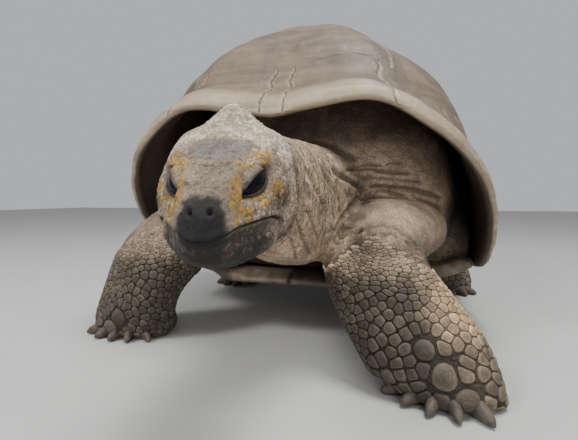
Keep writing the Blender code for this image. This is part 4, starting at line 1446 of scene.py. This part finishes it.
def make_shell(around, rows, sizes):
    """Outer surface with seams and worn growth lines, rolled edge and inner wall."""
    turn = full_turn(around)
    outer = [shell_surface(turn, rise) for rise in np.linspace(0.985, 0.0, rows)]
    rim = outer[-1]
    inner_rim = shell_point(turn, 0.012, sizes.shell_wall)
    lip = [rim * (1 - share) + inner_rim * share - (0, 0, 0.006 * math.sin(math.pi * share))
           for share in (0.25, 0.5, 0.75)]
    inner = [shell_point(turn, rise, sizes.shell_wall)
             for rise in np.linspace(0.03, 0.97, rows // 4)]
    shell = loft("carapace_shell", np.array(outer + lip + [inner_rim] + inner))
    lines = shell_seams()
    seams = np.concatenate([line.reshape(-1, 3) for line, _strength in lines])
    strengths = np.concatenate([np.full(len(line), strength) for line, strength in lines])
    tree = place_tree(seams)
    for reach in SEAM_REACHES:
        subdivided(shell, lambda middles, reach=reach: np.array(
            [tree.find(Vector(point))[2] for point in middles]) < reach)
    points = points_of(shell.data)
    nearest = [tree.find(Vector(point))[1:] for point in points]
    gap = np.array([distance for _index, distance in nearest])
    strength = strengths[[index for index, _distance in nearest]]
    outside = out_facing(points, normals_of(shell.data))
    edge, _along = line_distance(points, np.concatenate((rim[::4], rim[:1])))
    wander = ripple(points, 0.018, 31)
    torn = gap + 0.0010 * ripple(points, 0.010, 34)
    push = -sizes.seam_depth * strength * hump(torn, 0, 0.0024) * (1 + 0.6 * wander)
    push += 0.0007 * strength * hump(torn, 0.0055, 0.0022)
    rings = np.sin(gap * 2 * math.pi / 0.0125 + 1.5 * wander) * smooth(0.10, 0.02, gap)
    push += sizes.growth_line_depth * rings
    push += 0.0024 * ripple(points, 0.11, 32) + 0.0009 * ripple(points, 0.035, 33)
    push += 0.0028 * smooth(0.0, 0.05, gap) - 0.002
    bow = hump(points[:, 0] - 0.02, 0, 0.13) * (points[:, 1] < -0.3)
    push -= 0.0012 * bow * np.abs(ripple(points * (0.25, 1, 1), 0.012, 35))
    move_points(shell.data, points + normals_of(shell.data) * (outside * push)[:, None])
    reach = np.hypot(points[:, 0] - SHELL_MIDDLE_X, points[:, 1])[:, None]
    course = np.column_stack((points[:, :2] / np.maximum(reach, 0.05) * 0.5, 0.12 * points[:, 2]))
    for name, values in (("seam", gap + 0.02 * (1 - strength)), ("outside", outside),
                         ("edge", edge), ("course", course)):
        put_values(shell.data, name, values)
    return shell


def out_facing(points, normals):
    """1 on the shell's outside, 0 on its inner wall."""
    return smooth(-0.05, 0.15, (unit(from_inside(points)) * normals).sum(axis=1))


def make_belly_plate():
    """The flat underside with its bridges, its seams and the thick lip under the throat."""
    first, last = PLASTRON_WIDTHS[0][0], PLASTRON_WIDTHS[-1][0]
    lip = PLASTRON_LIP * (0.5 - 0.5 * np.cos(np.linspace(0.04, math.pi / 2, 9)))
    flat = PLASTRON_LIP + 0.002
    y = np.concatenate((first + lip, np.linspace(first + flat, last - flat, 150),
                        (last - lip)[::-1]))
    half = look_up(PLASTRON_WIDTHS, y)
    bridge = smooth(0.28, 0.40, half)
    inwards = np.clip(np.minimum(y - first, last - y) / PLASTRON_LIP, 0, 1)
    ends = 0.008 * (smooth(-0.40, -0.455, y) + smooth(0.35, 0.40, y))
    thick = (PLASTRON_THICK - 2 * ends) * np.sqrt(1 - (1 - inwards) ** 2)
    across = np.linspace(-1, 1, 90)
    x = half[:, None] * across
    depth = np.broadcast_to(y[:, None], x.shape)
    middle = PLASTRON_BOTTOM + PLASTRON_THICK / 2
    middle = middle + 0.020 * bridge[:, None] * smooth(0.30, 0.44, np.abs(x))
    rounding = np.sqrt(1 - 0.75 * smooth(0.94, 1.0, np.abs(across)))[None, :]
    seams = [np.abs(depth - place - 0.02 * np.abs(x)) for place in PLASTRON_SEAMS]
    gap = np.minimum.reduce(seams + [np.abs(x)])
    reach = thick[:, None] / 2 * rounding - 0.0014 * hump(gap, 0, 0.003)
    lower = np.stack((SHELL_MIDDLE_X + x, depth, middle - reach), axis=-1)
    upper = np.stack((SHELL_MIDDLE_X + x * 0.985, depth, middle + reach), axis=-1)
    plate = loft("belly_plate", np.concatenate((lower, upper[:, ::-1]), axis=1))
    put_values(plate.data, "seam", np.tile(gap, (1, 2)).ravel())
    return plate


def make_eye(side):
    """An eyeball, long from front to back."""
    mirror = np.array((side, 1, 1))
    size = np.array((EYE_HALF_LENGTH, EYE_HALF_HEIGHT, EYE_RADIUS)) - 0.0003
    turn = full_turn(56)
    rows = []
    for angle in np.linspace(0.03, math.pi - 0.03, 30):
        ball = np.stack((np.cos(turn) * math.sin(angle), np.sin(turn) * math.sin(angle),
                         np.full(len(turn), math.cos(angle))), axis=1) * size
        rows.append(from_head((ball @ EYE_FRAME.T + EYE_PLACE) * mirror))
    return loft("eyeball_left" if side > 0 else "eyeball_right", np.array(rows))


NAIL_RADIUS = 0.0162
NAIL_ROOT = 0.026            # of its length set into the foot
NAIL_BEND = 0.010
NAIL_TAPER = 0.62            # share of its width lost towards the tip
NAIL_ROUNDING = 0.76         # how far along it the tip begins to round off


def nail_tree(length):
    """Blunt bent nails, one on every point, pointing along the point's aim."""
    tree = NodeTree("nails")
    length = tree.input("Length", "NodeSocketFloat", length)
    width = tree.input("Width", "NodeSocketFloat", NAIL_RADIUS)
    drop = tree.times(tree.input("Bend", "NodeSocketFloat", NAIL_BEND), -1.0)
    middle = tree.node("ShaderNodeCombineXYZ", {"X": tree.times(length, 0.5)})
    tip = tree.node("ShaderNodeCombineXYZ", {"X": length, "Z": drop})
    spine = tree.node("GeometryNodeCurveQuadraticBezier", {
        "Resolution": 14, "Start": (0, 0, 0), "Middle": middle.outputs[0], "End": tip.outputs[0]})
    along = tree.node("GeometryNodeSplineParameter").outputs["Factor"]
    taper = tree.less(1.0, tree.times(tree.maths("POWER", along, 1.4), NAIL_TAPER))
    over = tree.maths("MAXIMUM", tree.less(along, NAIL_ROUNDING), 0.0)
    round_end = tree.maths("POWER", tree.times(over, 1 / 0.245), 2.0)
    round_end = tree.maths("SQRT", tree.maths("MAXIMUM", tree.less(1.0, round_end), 0.02))
    circle = tree.node("GeometryNodeCurvePrimitiveCircle", {"Resolution": 18, "Radius": 1.0})
    flat = tree.node("GeometryNodeTransform", {"Geometry": circle.outputs[0],
                                               "Scale": (0.8, 1.0, 1.0)})
    horn = tree.node("GeometryNodeCurveToMesh", {
        "Curve": spine.outputs[0], "Profile Curve": flat.outputs[0], "Fill Caps": True,
        "Scale": tree.times(tree.times(taper, round_end), width)})
    turned = tree.node("FunctionNodeAlignRotationToVector", {
        "Vector": tree.attribute("aim", "FLOAT_VECTOR")}, axis="X", pivot_axis="Z")
    planted = tree.node("GeometryNodeInstanceOnPoints", {
        "Points": tree.start.outputs["Geometry"], "Instance": horn.outputs[0],
        "Rotation": turned.outputs[0]})
    real = tree.node("GeometryNodeRealizeInstances", {0: planted.outputs[0]})
    tree.finish(real.outputs[0])
    return tree


def nail_roots():
    """Where the nails of all four feet start, and which way they point."""
    roots, aims = [], []
    for line, facing, count, fan in LIMBS.values():
        sole = line[-1]
        front = unit((facing[0], facing[1], 0.0))
        side = np.array((front[1], -front[0], 0.0))
        for index in range(count):
            turn = math.radians(fan * ((index + 0.5) / count - 0.5))
            aim = front * math.cos(turn) + side * math.sin(turn)
            reach = 1 / math.hypot(math.cos(turn) / sole[4], math.sin(turn) / sole[3])
            roots.append(np.array((sole[0], sole[1], NAIL_RADIUS * 0.98)) + aim * (reach - NAIL_ROOT))
            aims.append(aim)
    return np.array(roots), np.array(aims)


# ------------------------------------------------------------------ materials
class Finish(Nodes):
    """A material being put together."""

    def __init__(self, name):
        self.material = bpy.data.materials.new(name)
        self.material.use_nodes = True
        self.tree = self.material.node_tree
        self.shader = self.tree.nodes["Principled BSDF"]
        self.place = self.node("ShaderNodeTexCoord").outputs["Object"]
        self.normal = None

    def attribute(self, name, output="Fac"):
        return self.node("ShaderNodeAttribute", attribute_name=name).outputs[output]

    def noise(self, scale, detail=3.0, where=None, twist=0.0):
        item = self.node("ShaderNodeTexNoise", {"Vector": where or self.place, "Scale": scale,
                                                "Detail": detail, "Distortion": twist})
        return item.outputs["Fac"]

    def squeezed(self, scale):
        """The piece's own places, squeezed or stretched along each direction."""
        return self.node("ShaderNodeMapping", {"Vector": self.place, "Scale": scale}).outputs[0]

    def cracks(self, scale, width):
        """1 inside small cells and 0 in the lines between them."""
        item = self.node("ShaderNodeTexVoronoi", {"Vector": self.place, "Scale": scale},
                         feature="DISTANCE_TO_EDGE")
        return self.share(item.outputs["Distance"], 0.0, width)

    def lines(self, scale, width, where):
        """1 on the skin and 0 in fine wandering lines."""
        away = self.maths("ABSOLUTE", self.less(self.noise(scale, 2.0, where), 0.5))
        return self.share(away, 0.0, width)

    def share(self, value, low, high, start=0.0, end=1.0):
        """A value spread over a new range and held inside it."""
        item = self.node("ShaderNodeMapRange", {
            "Value": value, "From Min": low, "From Max": high, "To Min": start, "To Max": end},
            interpolation_type="SMOOTHSTEP")
        return item.outputs["Result"]

    def mixed(self, share, first, second, blend="MIX"):
        item = self.node("ShaderNodeMix", {0: share, 6: first, 7: second}, data_type="RGBA",
                         blend_type=blend)
        return item.outputs[2]

    def dimmed(self, colour, value):
        """A colour times a number."""
        return self.mixed(1.0, colour, value, "MULTIPLY")

    def varied(self, colour, *rows):
        """A colour times values, each spread over its own range first."""
        for row in rows:
            colour = self.dimmed(colour, self.share(*row))
        return colour

    def bump(self, *rows):
        """Adds relief: heights, each with its depth in metres."""
        for height, depth in rows:
            links = {"Height": height, "Distance": depth}
            if self.normal:
                links["Normal"] = self.normal
            self.normal = self.node("ShaderNodeBump", links).outputs["Normal"]

    def done(self, colour, roughness, specular=0.5):
        """The finished material; its roughness is a number or a value with its range."""
        if isinstance(roughness, tuple):
            roughness = self.share(*roughness)
        for name, value in (("Base Color", colour), ("Roughness", roughness),
                            ("Normal", self.normal), ("Specular IOR Level", specular)):
            if value is not None:
                self.feed(self.shader.inputs[name], value)
        return self.material


def dry_skin():
    finish = Finish("dry folded skin")
    tone, hollow_shade = finish.attribute("tone", "Color"), finish.attribute("hollow_shade")
    grain, lay = finish.attribute("grain"), finish.attribute("lay", "Vector")
    mottle, specks = finish.noise(42, 4), finish.noise(330, 3)
    wrinkles, long_folds = finish.lines(190, 0.11, lay), finish.lines(95, 0.07, lay)
    cells, pores = finish.cracks(330, 0.14), finish.cracks(620, 0.20)
    loose = finish.share(grain, 0.25, 1.0)
    colour = finish.varied(tone, (mottle, 0.25, 0.75, 0.72, 1.30), (specks, 0.3, 0.7, 0.70, 1.30))
    dark = finish.dimmed(colour, 0.42)
    for lines, place, depth in ((wrinkles, loose, 0.26), (long_folds, loose, 0.34),
                                (cells, grain, 0.22)):
        shade = finish.times(finish.less(1.0, lines), place)
        colour = finish.mixed(finish.times(shade, depth), colour, dark)
    colour = finish.varied(colour, (pores, 0.0, 1.0, 0.66, 1.0))
    # Painted shade: darker in hollows, creases and under the leg scales
    colour = finish.mixed(finish.share(hollow_shade, 0.12, 1.0, 0.0, 0.74), colour,
                          finish.dimmed(tone, 0.25))
    dust = finish.times(finish.share(hollow_shade, -0.05, -0.8, 0.0, 0.45), mottle)
    colour = finish.mixed(dust, colour, finish.dimmed(colour, 1.8))
    finish.bump((finish.times(wrinkles, loose), 0.0016), (finish.times(long_folds, loose), 0.0022),
                (finish.times(cells, grain), 0.0006), (pores, 0.0002), (specks, 0.0005))
    return finish.done(colour, (mottle, 0.2, 0.8, 0.66, 0.90), 0.35)


def horny_scale(name, paleness, growth, evenness, spread):
    """Horn of scales, with pale rims, rings of growth and a tint of each scale's own."""
    finish = Finish(name)
    tone, ring = finish.attribute("tone", "Color"), finish.attribute("ring")
    mottle, specks = finish.noise(55, 4), finish.noise(420, 3)
    wobble = finish.times(finish.noise(160, 2), 6.0)
    grooves = finish.maths("SINE", finish.maths("ADD", finish.times(ring, growth), wobble))
    grooves = finish.share(grooves, -0.4, 0.7)
    colour = finish.varied(tone, (finish.attribute("tint"), 0.0, 1.0, 1 - spread, 1 + spread),
                           (mottle, 0.25, 0.75, 0.68, 1.32), (specks, 0.3, 0.7, 0.76, 1.24))
    rim = finish.times(finish.share(ring, 0.50, 0.80), finish.share(ring, 0.95, 0.86))
    colour = finish.mixed(finish.times(rim, paleness), colour, finish.dimmed(colour, 1.9))
    colour = finish.varied(colour, (grooves, 0.0, 1.0, evenness, 1.04))
    # Painted shade: each scale darkens towards its foot, in the grooves between the scales
    colour = finish.mixed(finish.share(ring, 0.90, 0.99, 0.0, 0.80), colour,
                          finish.dimmed(tone, 0.30))
    finish.bump((grooves, 0.0002), (mottle, 0.0020), (specks, 0.0006))
    return finish.done(colour, (mottle, 0.2, 0.8, 0.56, 0.82), 0.4)


def shell_horn(paints):
    finish = Finish("worn shell horn")
    seam, edge = finish.attribute("seam"), finish.attribute("edge")
    outside, course = finish.attribute("outside"), finish.attribute("course", "Vector")
    clouds, mottle = finish.noise(7.0, 6, twist=1.2), finish.noise(34, 5)
    specks, streaks = finish.noise(300, 4), finish.noise(46, 5, course, 0.4)
    scratches = finish.lines(120, 0.05, course)
    level = finish.noise(5.0, 5, finish.squeezed((0.5, 0.5, 6.0)), 0.8)
    wander = finish.times(finish.noise(24, 3), 5.0)
    rings = finish.maths("ADD", finish.times(seam, 2 * math.pi / 0.0135), wander)
    rings = finish.times(finish.share(finish.maths("SINE", rings), -1, 1),
                         finish.share(seam, 0.085, 0.015))
    rim = finish.maths("ADD", edge, finish.times(clouds, 0.035))
    torn = finish.maths("ADD", seam, finish.times(finish.noise(150, 3), 0.0025))
    pale = finish.times(finish.share(torn, 0.0125, 0.0050), finish.share(specks, 0.42, 0.6))
    colour = finish.mixed(finish.share(clouds, 0.32, 0.68), paints.shell_dark, paints.shell)
    colour = finish.mixed(finish.share(rim, 0.085, 0.030, 0.0, 0.85), colour, paints.shell_rim)
    colour = finish.varied(
        colour, (streaks, 0.3, 0.7, 0.96, 1.04), (mottle, 0.25, 0.75, 0.88, 1.12),
        (specks, 0.3, 0.7, 0.92, 1.08), (scratches, 0.0, 1.0, 0.96, 1.0),
        (level, 0.32, 0.68, 0.74, 1.20), (rings, 0.0, 1.0, 1.0, 0.96))
    colour = finish.mixed(finish.times(pale, 0.5), colour, paints.shell_rim)
    colour = finish.varied(colour, (torn, 0.0022, 0.0042, 0.30, 1.0))
    # Painted shade: the inner wall of the shell takes a darker colour
    colour = finish.mixed(outside, paints.shell_inside_shade, colour)
    finish.bump((rings, 0.0002), (streaks, 0.0003), (scratches, 0.0001), (level, 0.0030),
                (mottle, 0.0008), (specks, 0.00025))
    return finish.done(colour, (streaks, 0.2, 0.8, 0.42, 0.68), 0.45)


def belly_horn(paints):
    finish = Finish("belly plate horn")
    seam, mottle, specks = finish.attribute("seam"), finish.noise(18, 5), finish.noise(260, 3)
    scrapes = finish.noise(60, 4, finish.squeezed((1.0, 0.12, 1.0)))
    colour = finish.mixed(finish.share(mottle, 0.3, 0.7), paints.shell_dark, paints.belly)
    colour = finish.varied(colour, (scrapes, 0.3, 0.7, 0.72, 1.15),
                           (seam, 0.001, 0.006, 0.35, 1.0))
    finish.bump((scrapes, 0.0010), (specks, 0.0003))
    return finish.done(colour, (scrapes, 0.2, 0.8, 0.5, 0.75), 0.4)


def wet_eye(paints):
    finish = Finish("wet dark eye")
    depth = finish.noise(110, 3)
    colour = finish.mixed(finish.share(depth, 0.35, 0.7), paints.eye,
                          tuple(part * 3.0 for part in paints.eye))
    finish.bump((finish.noise(90, 1), 0.0001))
    return finish.done(colour, (depth, 0.2, 0.8, 0.04, 0.10), 0.12)


def nail_horn(paints):
    finish = Finish("nail horn")
    ridges, mottle = finish.noise(190, 3), finish.noise(45, 4)
    colour = finish.varied(paints.nail, (mottle, 0.25, 0.75, 0.55, 1.35),
                           (ridges, 0.3, 0.7, 0.8, 1.15))
    finish.bump((ridges, 0.0010), (mottle, 0.0024))
    return finish.done(colour, (mottle, 0.2, 0.8, 0.55, 0.78))


def pale_floor(paints):
    finish = Finish("pale floor")
    colour = finish.varied(paints.floor, (finish.noise(6, 3), 0.3, 0.7, 0.98, 1.02))
    return finish.done(colour, 0.85, 0.2)


# ------------------------------------------------------------------ what a user may change
def paint(name, default, description):
    return FloatVectorProperty(name=name, description=description, default=default, size=3,
                               subtype="COLOR", min=0.0, max=1.0)


def length(name, default, description):
    return FloatProperty(name=name, description=description, default=default, min=0.0,
                         unit="LENGTH", precision=5)


def share_of(name, default, description, most=1.0):
    return FloatProperty(name=name, description=description, default=default, min=0.0,
                         max=most, subtype="FACTOR")


class TortoiseSizes(bpy.types.PropertyGroup):
    hide_detail: length("Hide detail", 0.0057, "Edge length that the skin is grown together at")
    scale_gap: share_of("Gap between scales", 0.030,
                        "Share of a leg scale's width left free round it", 0.5)
    leg_scale_height: share_of("Leg scale height", 0.30, "Height of a leg scale for its half-width")
    head_scale_height: share_of("Head scale height", 0.17,
                                "Height of a head scale for its half-width")
    scale_foot: length("Scale foot", 0.0016, "How deep the foot of a scale is set into the skin")
    shell_wall: length("Shell wall", 0.020, "Thickness of the shell at its edge")
    shell_steps: IntProperty(name="Shell steps", default=330, min=60, max=800,
                             description="Points round the shell")
    seam_depth: length("Seam depth", 0.0022, "Depth of the seams between the shell's plates")
    growth_line_depth: length("Growth line depth", 0.0001, "Depth of the rings in the plates")
    nail_length: length("Nail length", 0.048, "Length of a nail with the root in the foot")


class TortoiseColours(bpy.types.PropertyGroup):
    leg: paint("Legs", (0.152, 0.117, 0.077), "Scales and skin of the legs")
    leg_outer: paint("Legs, outer side", (0.330, 0.225, 0.125), "Outer side of the forelegs")
    # Painted shade on the inner side of the left foreleg and on the whole right foreleg
    leg_inner_shade: paint("Legs, inner side", (0.044, 0.036, 0.026), "Inner side of the forelegs")
    # Painted shade near the floor: the lower edge of the feet is darkened for the shade there
    sole: paint("Feet", (0.060, 0.048, 0.035), "Dirt-darkened lower edge of the feet")
    # Also used for a painted highlight on the top rows of the forelegs
    arm: paint("Upper foreleg", (0.305, 0.225, 0.152), "Smooth skin over the elbow")
    shoulder: paint("Shoulder", (0.350, 0.255, 0.176), "Loose skin beside the neck")
    # Painted shadow under the shell, over the darker skin there
    shadow: paint("Skin under the shell", (0.045, 0.034, 0.027), "Skin deep under the shell")
    neck: paint("Neck", (0.580, 0.435, 0.290), "Folded skin of the neck")
    rust: paint("Reddish patches", (0.230, 0.115, 0.062), "Patches of the neck and shoulders")
    face: paint("Face", (0.205, 0.156, 0.112), "Fine skin between the eyes")
    crest: paint("Crest", (0.310, 0.258, 0.188), "Small scales on top of the head")
    shield: paint("Forehead plate", (0.150, 0.137, 0.130), "Smooth plate over the eyes")
    temple: paint("Temples", (0.340, 0.300, 0.270), "Pale patch behind the eyes")
    ochre: paint("Ochre patches", (0.260, 0.150, 0.026), "Patches round the eyes and cheeks")
    nose: paint("Nose", (0.008, 0.0075, 0.0075), "Dark nose, beak and lid rims")
    # Dark jaw colour, with the painted shade of the head's underside worked in
    jaw: paint("Jaw", (0.011, 0.010, 0.008), "Lower jaw and throat")
    eye: paint("Eyes", (0.0012, 0.0015, 0.0032), "Eyeballs")
    nail: paint("Nails", (0.075, 0.059, 0.045), "Horn of the nails")
    shell: paint("Shell", (0.160, 0.116, 0.076), "Worn horn of the shell")
    shell_dark: paint("Shell, darker", (0.090, 0.067, 0.045), "Clouds in the shell's horn")
    shell_rim: paint("Shell edge", (0.350, 0.275, 0.188), "Pale band along the shell's edge")
    # Painted shade on the inner wall of the shell
    shell_inside_shade: paint("Inside of the shell", (0.080, 0.060, 0.047), "Inner wall of the shell")
    belly: paint("Belly plate", (0.180, 0.138, 0.096), "Horn of the belly plate")
    floor: paint("Floor", (0.46, 0.455, 0.44), "Floor of the stage")


# ------------------------------------------------------------------ operators
def settled(item, slot, *nodes):
    """Gives a piece its place on the body and hides the nodes it stands for; the slot is not used."""
    if nodes:
        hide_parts(*nodes)
    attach(item, "root")


class TORTOISE_OT_hide(bpy.types.Operator):
    """Grow the skin of the whole body in one piece, with folds, lids and nostrils"""
    bl_idname = "tortoise.hide"
    bl_label = "Skin"

    def execute(self, context):
        hide = make_hide(context.scene.tortoise_sizes.hide_detail)
        hide.data.materials.append(dry_skin())
        hard = ("carapace", "plastron", "eye_left", "eye_right")
        settled(hide, "skin", *(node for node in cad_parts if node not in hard))
        return {"FINISHED"}


# seeds of the random draws, and how often the places of the scales are evened out
LEG_SPOTS_SEED, LEG_SCALES_SEED, LEG_ROUNDS = 40, 60, 14
HEAD_SPOTS_SEED, HEAD_SCALES_SEED, HEAD_ROUNDS = 50, 70, 2
HEAD_SCALE_GAP = 0.06


def leg_scales(number, limb, skin, gap):
    """Flat outlines of one leg's scales, with three great ones on a foreleg."""
    line, facing, *_nails = LIMBS[limb]
    points, triangles = skin
    bend, knobs = UNBENT, []
    if "fore" in limb:
        bend, sole, side = (stretched, unstretched), line[-1], leg_side(limb)
        knobs = [(*stretched(np.array([(sole[0] + side * out, sole[1] - ahead, up)]))[0], width)
                 for out, ahead, up, width in KNOBS]
    stretch, straight = bend

    def size_at(places):
        return leg_sizes(limb)(straight(places))

    seeds = spots(stretch(points), triangles, size_at, LEG_SPOTS_SEED + number, LEG_ROUNDS)
    seeds = with_knobs(seeds, size_at, knobs)
    wide = size_at(seeds)
    wide = np.where(wide > 0, wide, 0.012)
    if knobs:
        wide[-len(knobs):] = [knob[3] for knob in knobs]
    return scale_sheet(f"scales_{limb}", skin, seeds, wide, limb_places(line, facing),
                       BROAD_SCALE, gap, LEG_SCALES_SEED + number, bend)


def head_scales(skin):
    seeds = spots(*skin, head_sizes, HEAD_SPOTS_SEED, HEAD_ROUNDS)
    wide = np.maximum(head_sizes(seeds), 0.004)
    return scale_sheet("scales_head", skin, seeds, wide, head_places, SMALL_SCALE,
                       HEAD_SCALE_GAP, HEAD_SCALES_SEED)


class TORTOISE_OT_scales(bpy.types.Operator):
    """Cover the legs and the head with raised scales"""
    bl_idname = "tortoise.scales"
    bl_label = "Scales"

    def execute(self, context):
        sizes = context.scene.tortoise_sizes
        hide = bpy.data.objects["hide"].data
        skin = points_of(hide), triangles_of(hide)
        tree = raised_scales()
        leg = horny_scale("leg scale", 0.60, 11.0, 0.92, 0.28)
        head = horny_scale("head scale", 0.45, 5.0, 1.0, 0.36)
        for number, limb in enumerate(LIMBS):
            sheet = leg_scales(number, limb, skin, sizes.scale_gap)
            tree.worked_into(sheet, {"Height share": sizes.leg_scale_height,
                                     "Skirt depth": sizes.scale_foot, "Material": leg})
            settled(sheet, "leg skin")
        sheet = head_scales(skin)
        tree.worked_into(sheet, {"Height share": sizes.head_scale_height,
                                 "Skirt depth": sizes.scale_foot * 0.5, "Material": head})
        settled(sheet, "head skin")
        return {"FINISHED"}


class TORTOISE_OT_nails(bpy.types.Operator):
    """Set the nails into the four feet"""
    bl_idname = "tortoise.nails"
    bl_label = "Nails"

    def execute(self, context):
        sizes, paints = context.scene.tortoise_sizes, context.scene.tortoise_colours
        roots, aims = nail_roots()
        nails = linked("nails", new_mesh("nails", roots))
        put_values(nails.data, "aim", aims)
        nail_tree(sizes.nail_length).worked_into(nails, {
            "Length": sizes.nail_length, "Width": NAIL_RADIUS, "Bend": NAIL_BEND,
            "Material": nail_horn(paints)})
        settled(nails, "leg skin")
        return {"FINISHED"}


class TORTOISE_OT_shell(bpy.types.Operator):
    """Make the shell with its seams, rolled edge and inner wall"""
    bl_idname = "tortoise.shell"
    bl_label = "Shell"

    def execute(self, context):
        sizes, paints = context.scene.tortoise_sizes, context.scene.tortoise_colours
        shell = make_shell(sizes.shell_steps, sizes.shell_steps // 4, sizes)
        shell.data.materials.append(shell_horn(paints))
        settled(shell, "shell", "carapace")
        return {"FINISHED"}


class TORTOISE_OT_belly_plate(bpy.types.Operator):
    """Make the belly plate and its bridges"""
    bl_idname = "tortoise.belly_plate"
    bl_label = "Belly plate"

    def execute(self, context):
        plate = make_belly_plate()
        plate.data.materials.append(belly_horn(context.scene.tortoise_colours))
        settled(plate, "belly plate", "plastron")
        return {"FINISHED"}


class TORTOISE_OT_eyes(bpy.types.Operator):
    """Make both eyeballs"""
    bl_idname = "tortoise.eyes"
    bl_label = "Eyes"

    def execute(self, context):
        material = wet_eye(context.scene.tortoise_colours)
        for side, node in ((1, "eye_left"), (-1, "eye_right")):
            eye = make_eye(side)
            eye.data.materials.append(material)
            settled(eye, "eye", node)
        return {"FINISHED"}


# name, place, what it looks at, width, watts
LAMPS = (
    ("key", (-1.9, -2.6, 2.9), (0.0, -0.3, 0.3), 1.0, 100),
    ("top", (0.8, -0.7, 3.2), (0.0, -0.1, 0.4), 1.2, 110),
    ("fill", (1.3, -3.0, 1.1), (0.1, -0.4, 0.3), 1.6, 36),
)
SKY_COLOUR, SKY_STRENGTH = (0.93, 0.95, 1.0, 1), 0.56
FLOOR_CORNERS = ((-9, -9, 0), (9, -9, 0), (9, 9, 0), (-9, 9, 0))
VIEW_PLACE = (0.213, -1.283, 0.317)
VIEW_TURN = 15               # degrees
VIEW_LENS = 400 / 578        # for an image one unit wide
VIEW_DROP = -23 / 578


class TORTOISE_OT_stage(bpy.types.Operator):
    """Set up the floor, the light and the camera"""
    bl_idname = "tortoise.stage"
    bl_label = "Stage"

    def execute(self, context):
        mesh = bpy.data.meshes.new("stage_floor")
        mesh.from_pydata(FLOOR_CORNERS, [], [(0, 1, 2, 3)])
        mesh.materials.append(pale_floor(context.scene.tortoise_colours))
        linked("stage_floor", mesh)
        world = bpy.data.worlds.new("studio")
        context.scene.world = world
        world.use_nodes = True
        sky = world.node_tree.nodes["Background"]
        sky.inputs["Color"].default_value = SKY_COLOUR
        sky.inputs["Strength"].default_value = SKY_STRENGTH
        for name, place, aim, width, power in LAMPS:
            light = bpy.data.lights.new(name, "AREA")
            light.size, light.energy = width, power
            lamp = linked(name, light)
            lamp.location = place
            way = Vector(aim) - Vector(place)
            lamp.rotation_euler = way.to_track_quat("-Z", "Y").to_euler()
        camera = bpy.data.cameras.new("view")
        camera.sensor_width = 36
        camera.lens = VIEW_LENS * camera.sensor_width
        camera.shift_y = VIEW_DROP
        camera.clip_start = 0.01
        eye = linked("view", camera)
        eye.location = Vector(VIEW_PLACE) + Vector(SHIFT)
        eye.rotation_euler = (math.pi / 2, 0, math.radians(VIEW_TURN))
        context.scene.camera = eye
        return {"FINISHED"}


STEPS = (TORTOISE_OT_hide, TORTOISE_OT_scales, TORTOISE_OT_nails, TORTOISE_OT_shell,
         TORTOISE_OT_belly_plate, TORTOISE_OT_eyes, TORTOISE_OT_stage)


class TORTOISE_PT_panel(bpy.types.Panel):
    """Pieces, sizes and colours of the giant tortoise"""
    bl_idname = "TORTOISE_PT_panel"
    bl_label = "Giant tortoise"
    bl_space_type = "VIEW_3D"
    bl_region_type = "UI"
    bl_category = "Tortoise"

    def draw(self, context):
        for step in STEPS:
            self.layout.operator(step.bl_idname)
        for group in (context.scene.tortoise_sizes, context.scene.tortoise_colours):
            box = self.layout.box()
            for name in group.__annotations__:
                box.prop(group, name)


CLASSES = (TortoiseSizes, TortoiseColours, *STEPS, TORTOISE_PT_panel)


def register():
    for item in CLASSES:
        bpy.utils.register_class(item)
    bpy.types.Scene.tortoise_sizes = PointerProperty(type=TortoiseSizes)
    bpy.types.Scene.tortoise_colours = PointerProperty(type=TortoiseColours)


def unregister():
    del bpy.types.Scene.tortoise_colours
    del bpy.types.Scene.tortoise_sizes
    for item in reversed(CLASSES):
        bpy.utils.unregister_class(item)


def main():
    register()
    for step in STEPS:
        getattr(bpy.ops.tortoise, step.bl_idname.split(".")[1])()


if __name__ == "__main__":
    main()
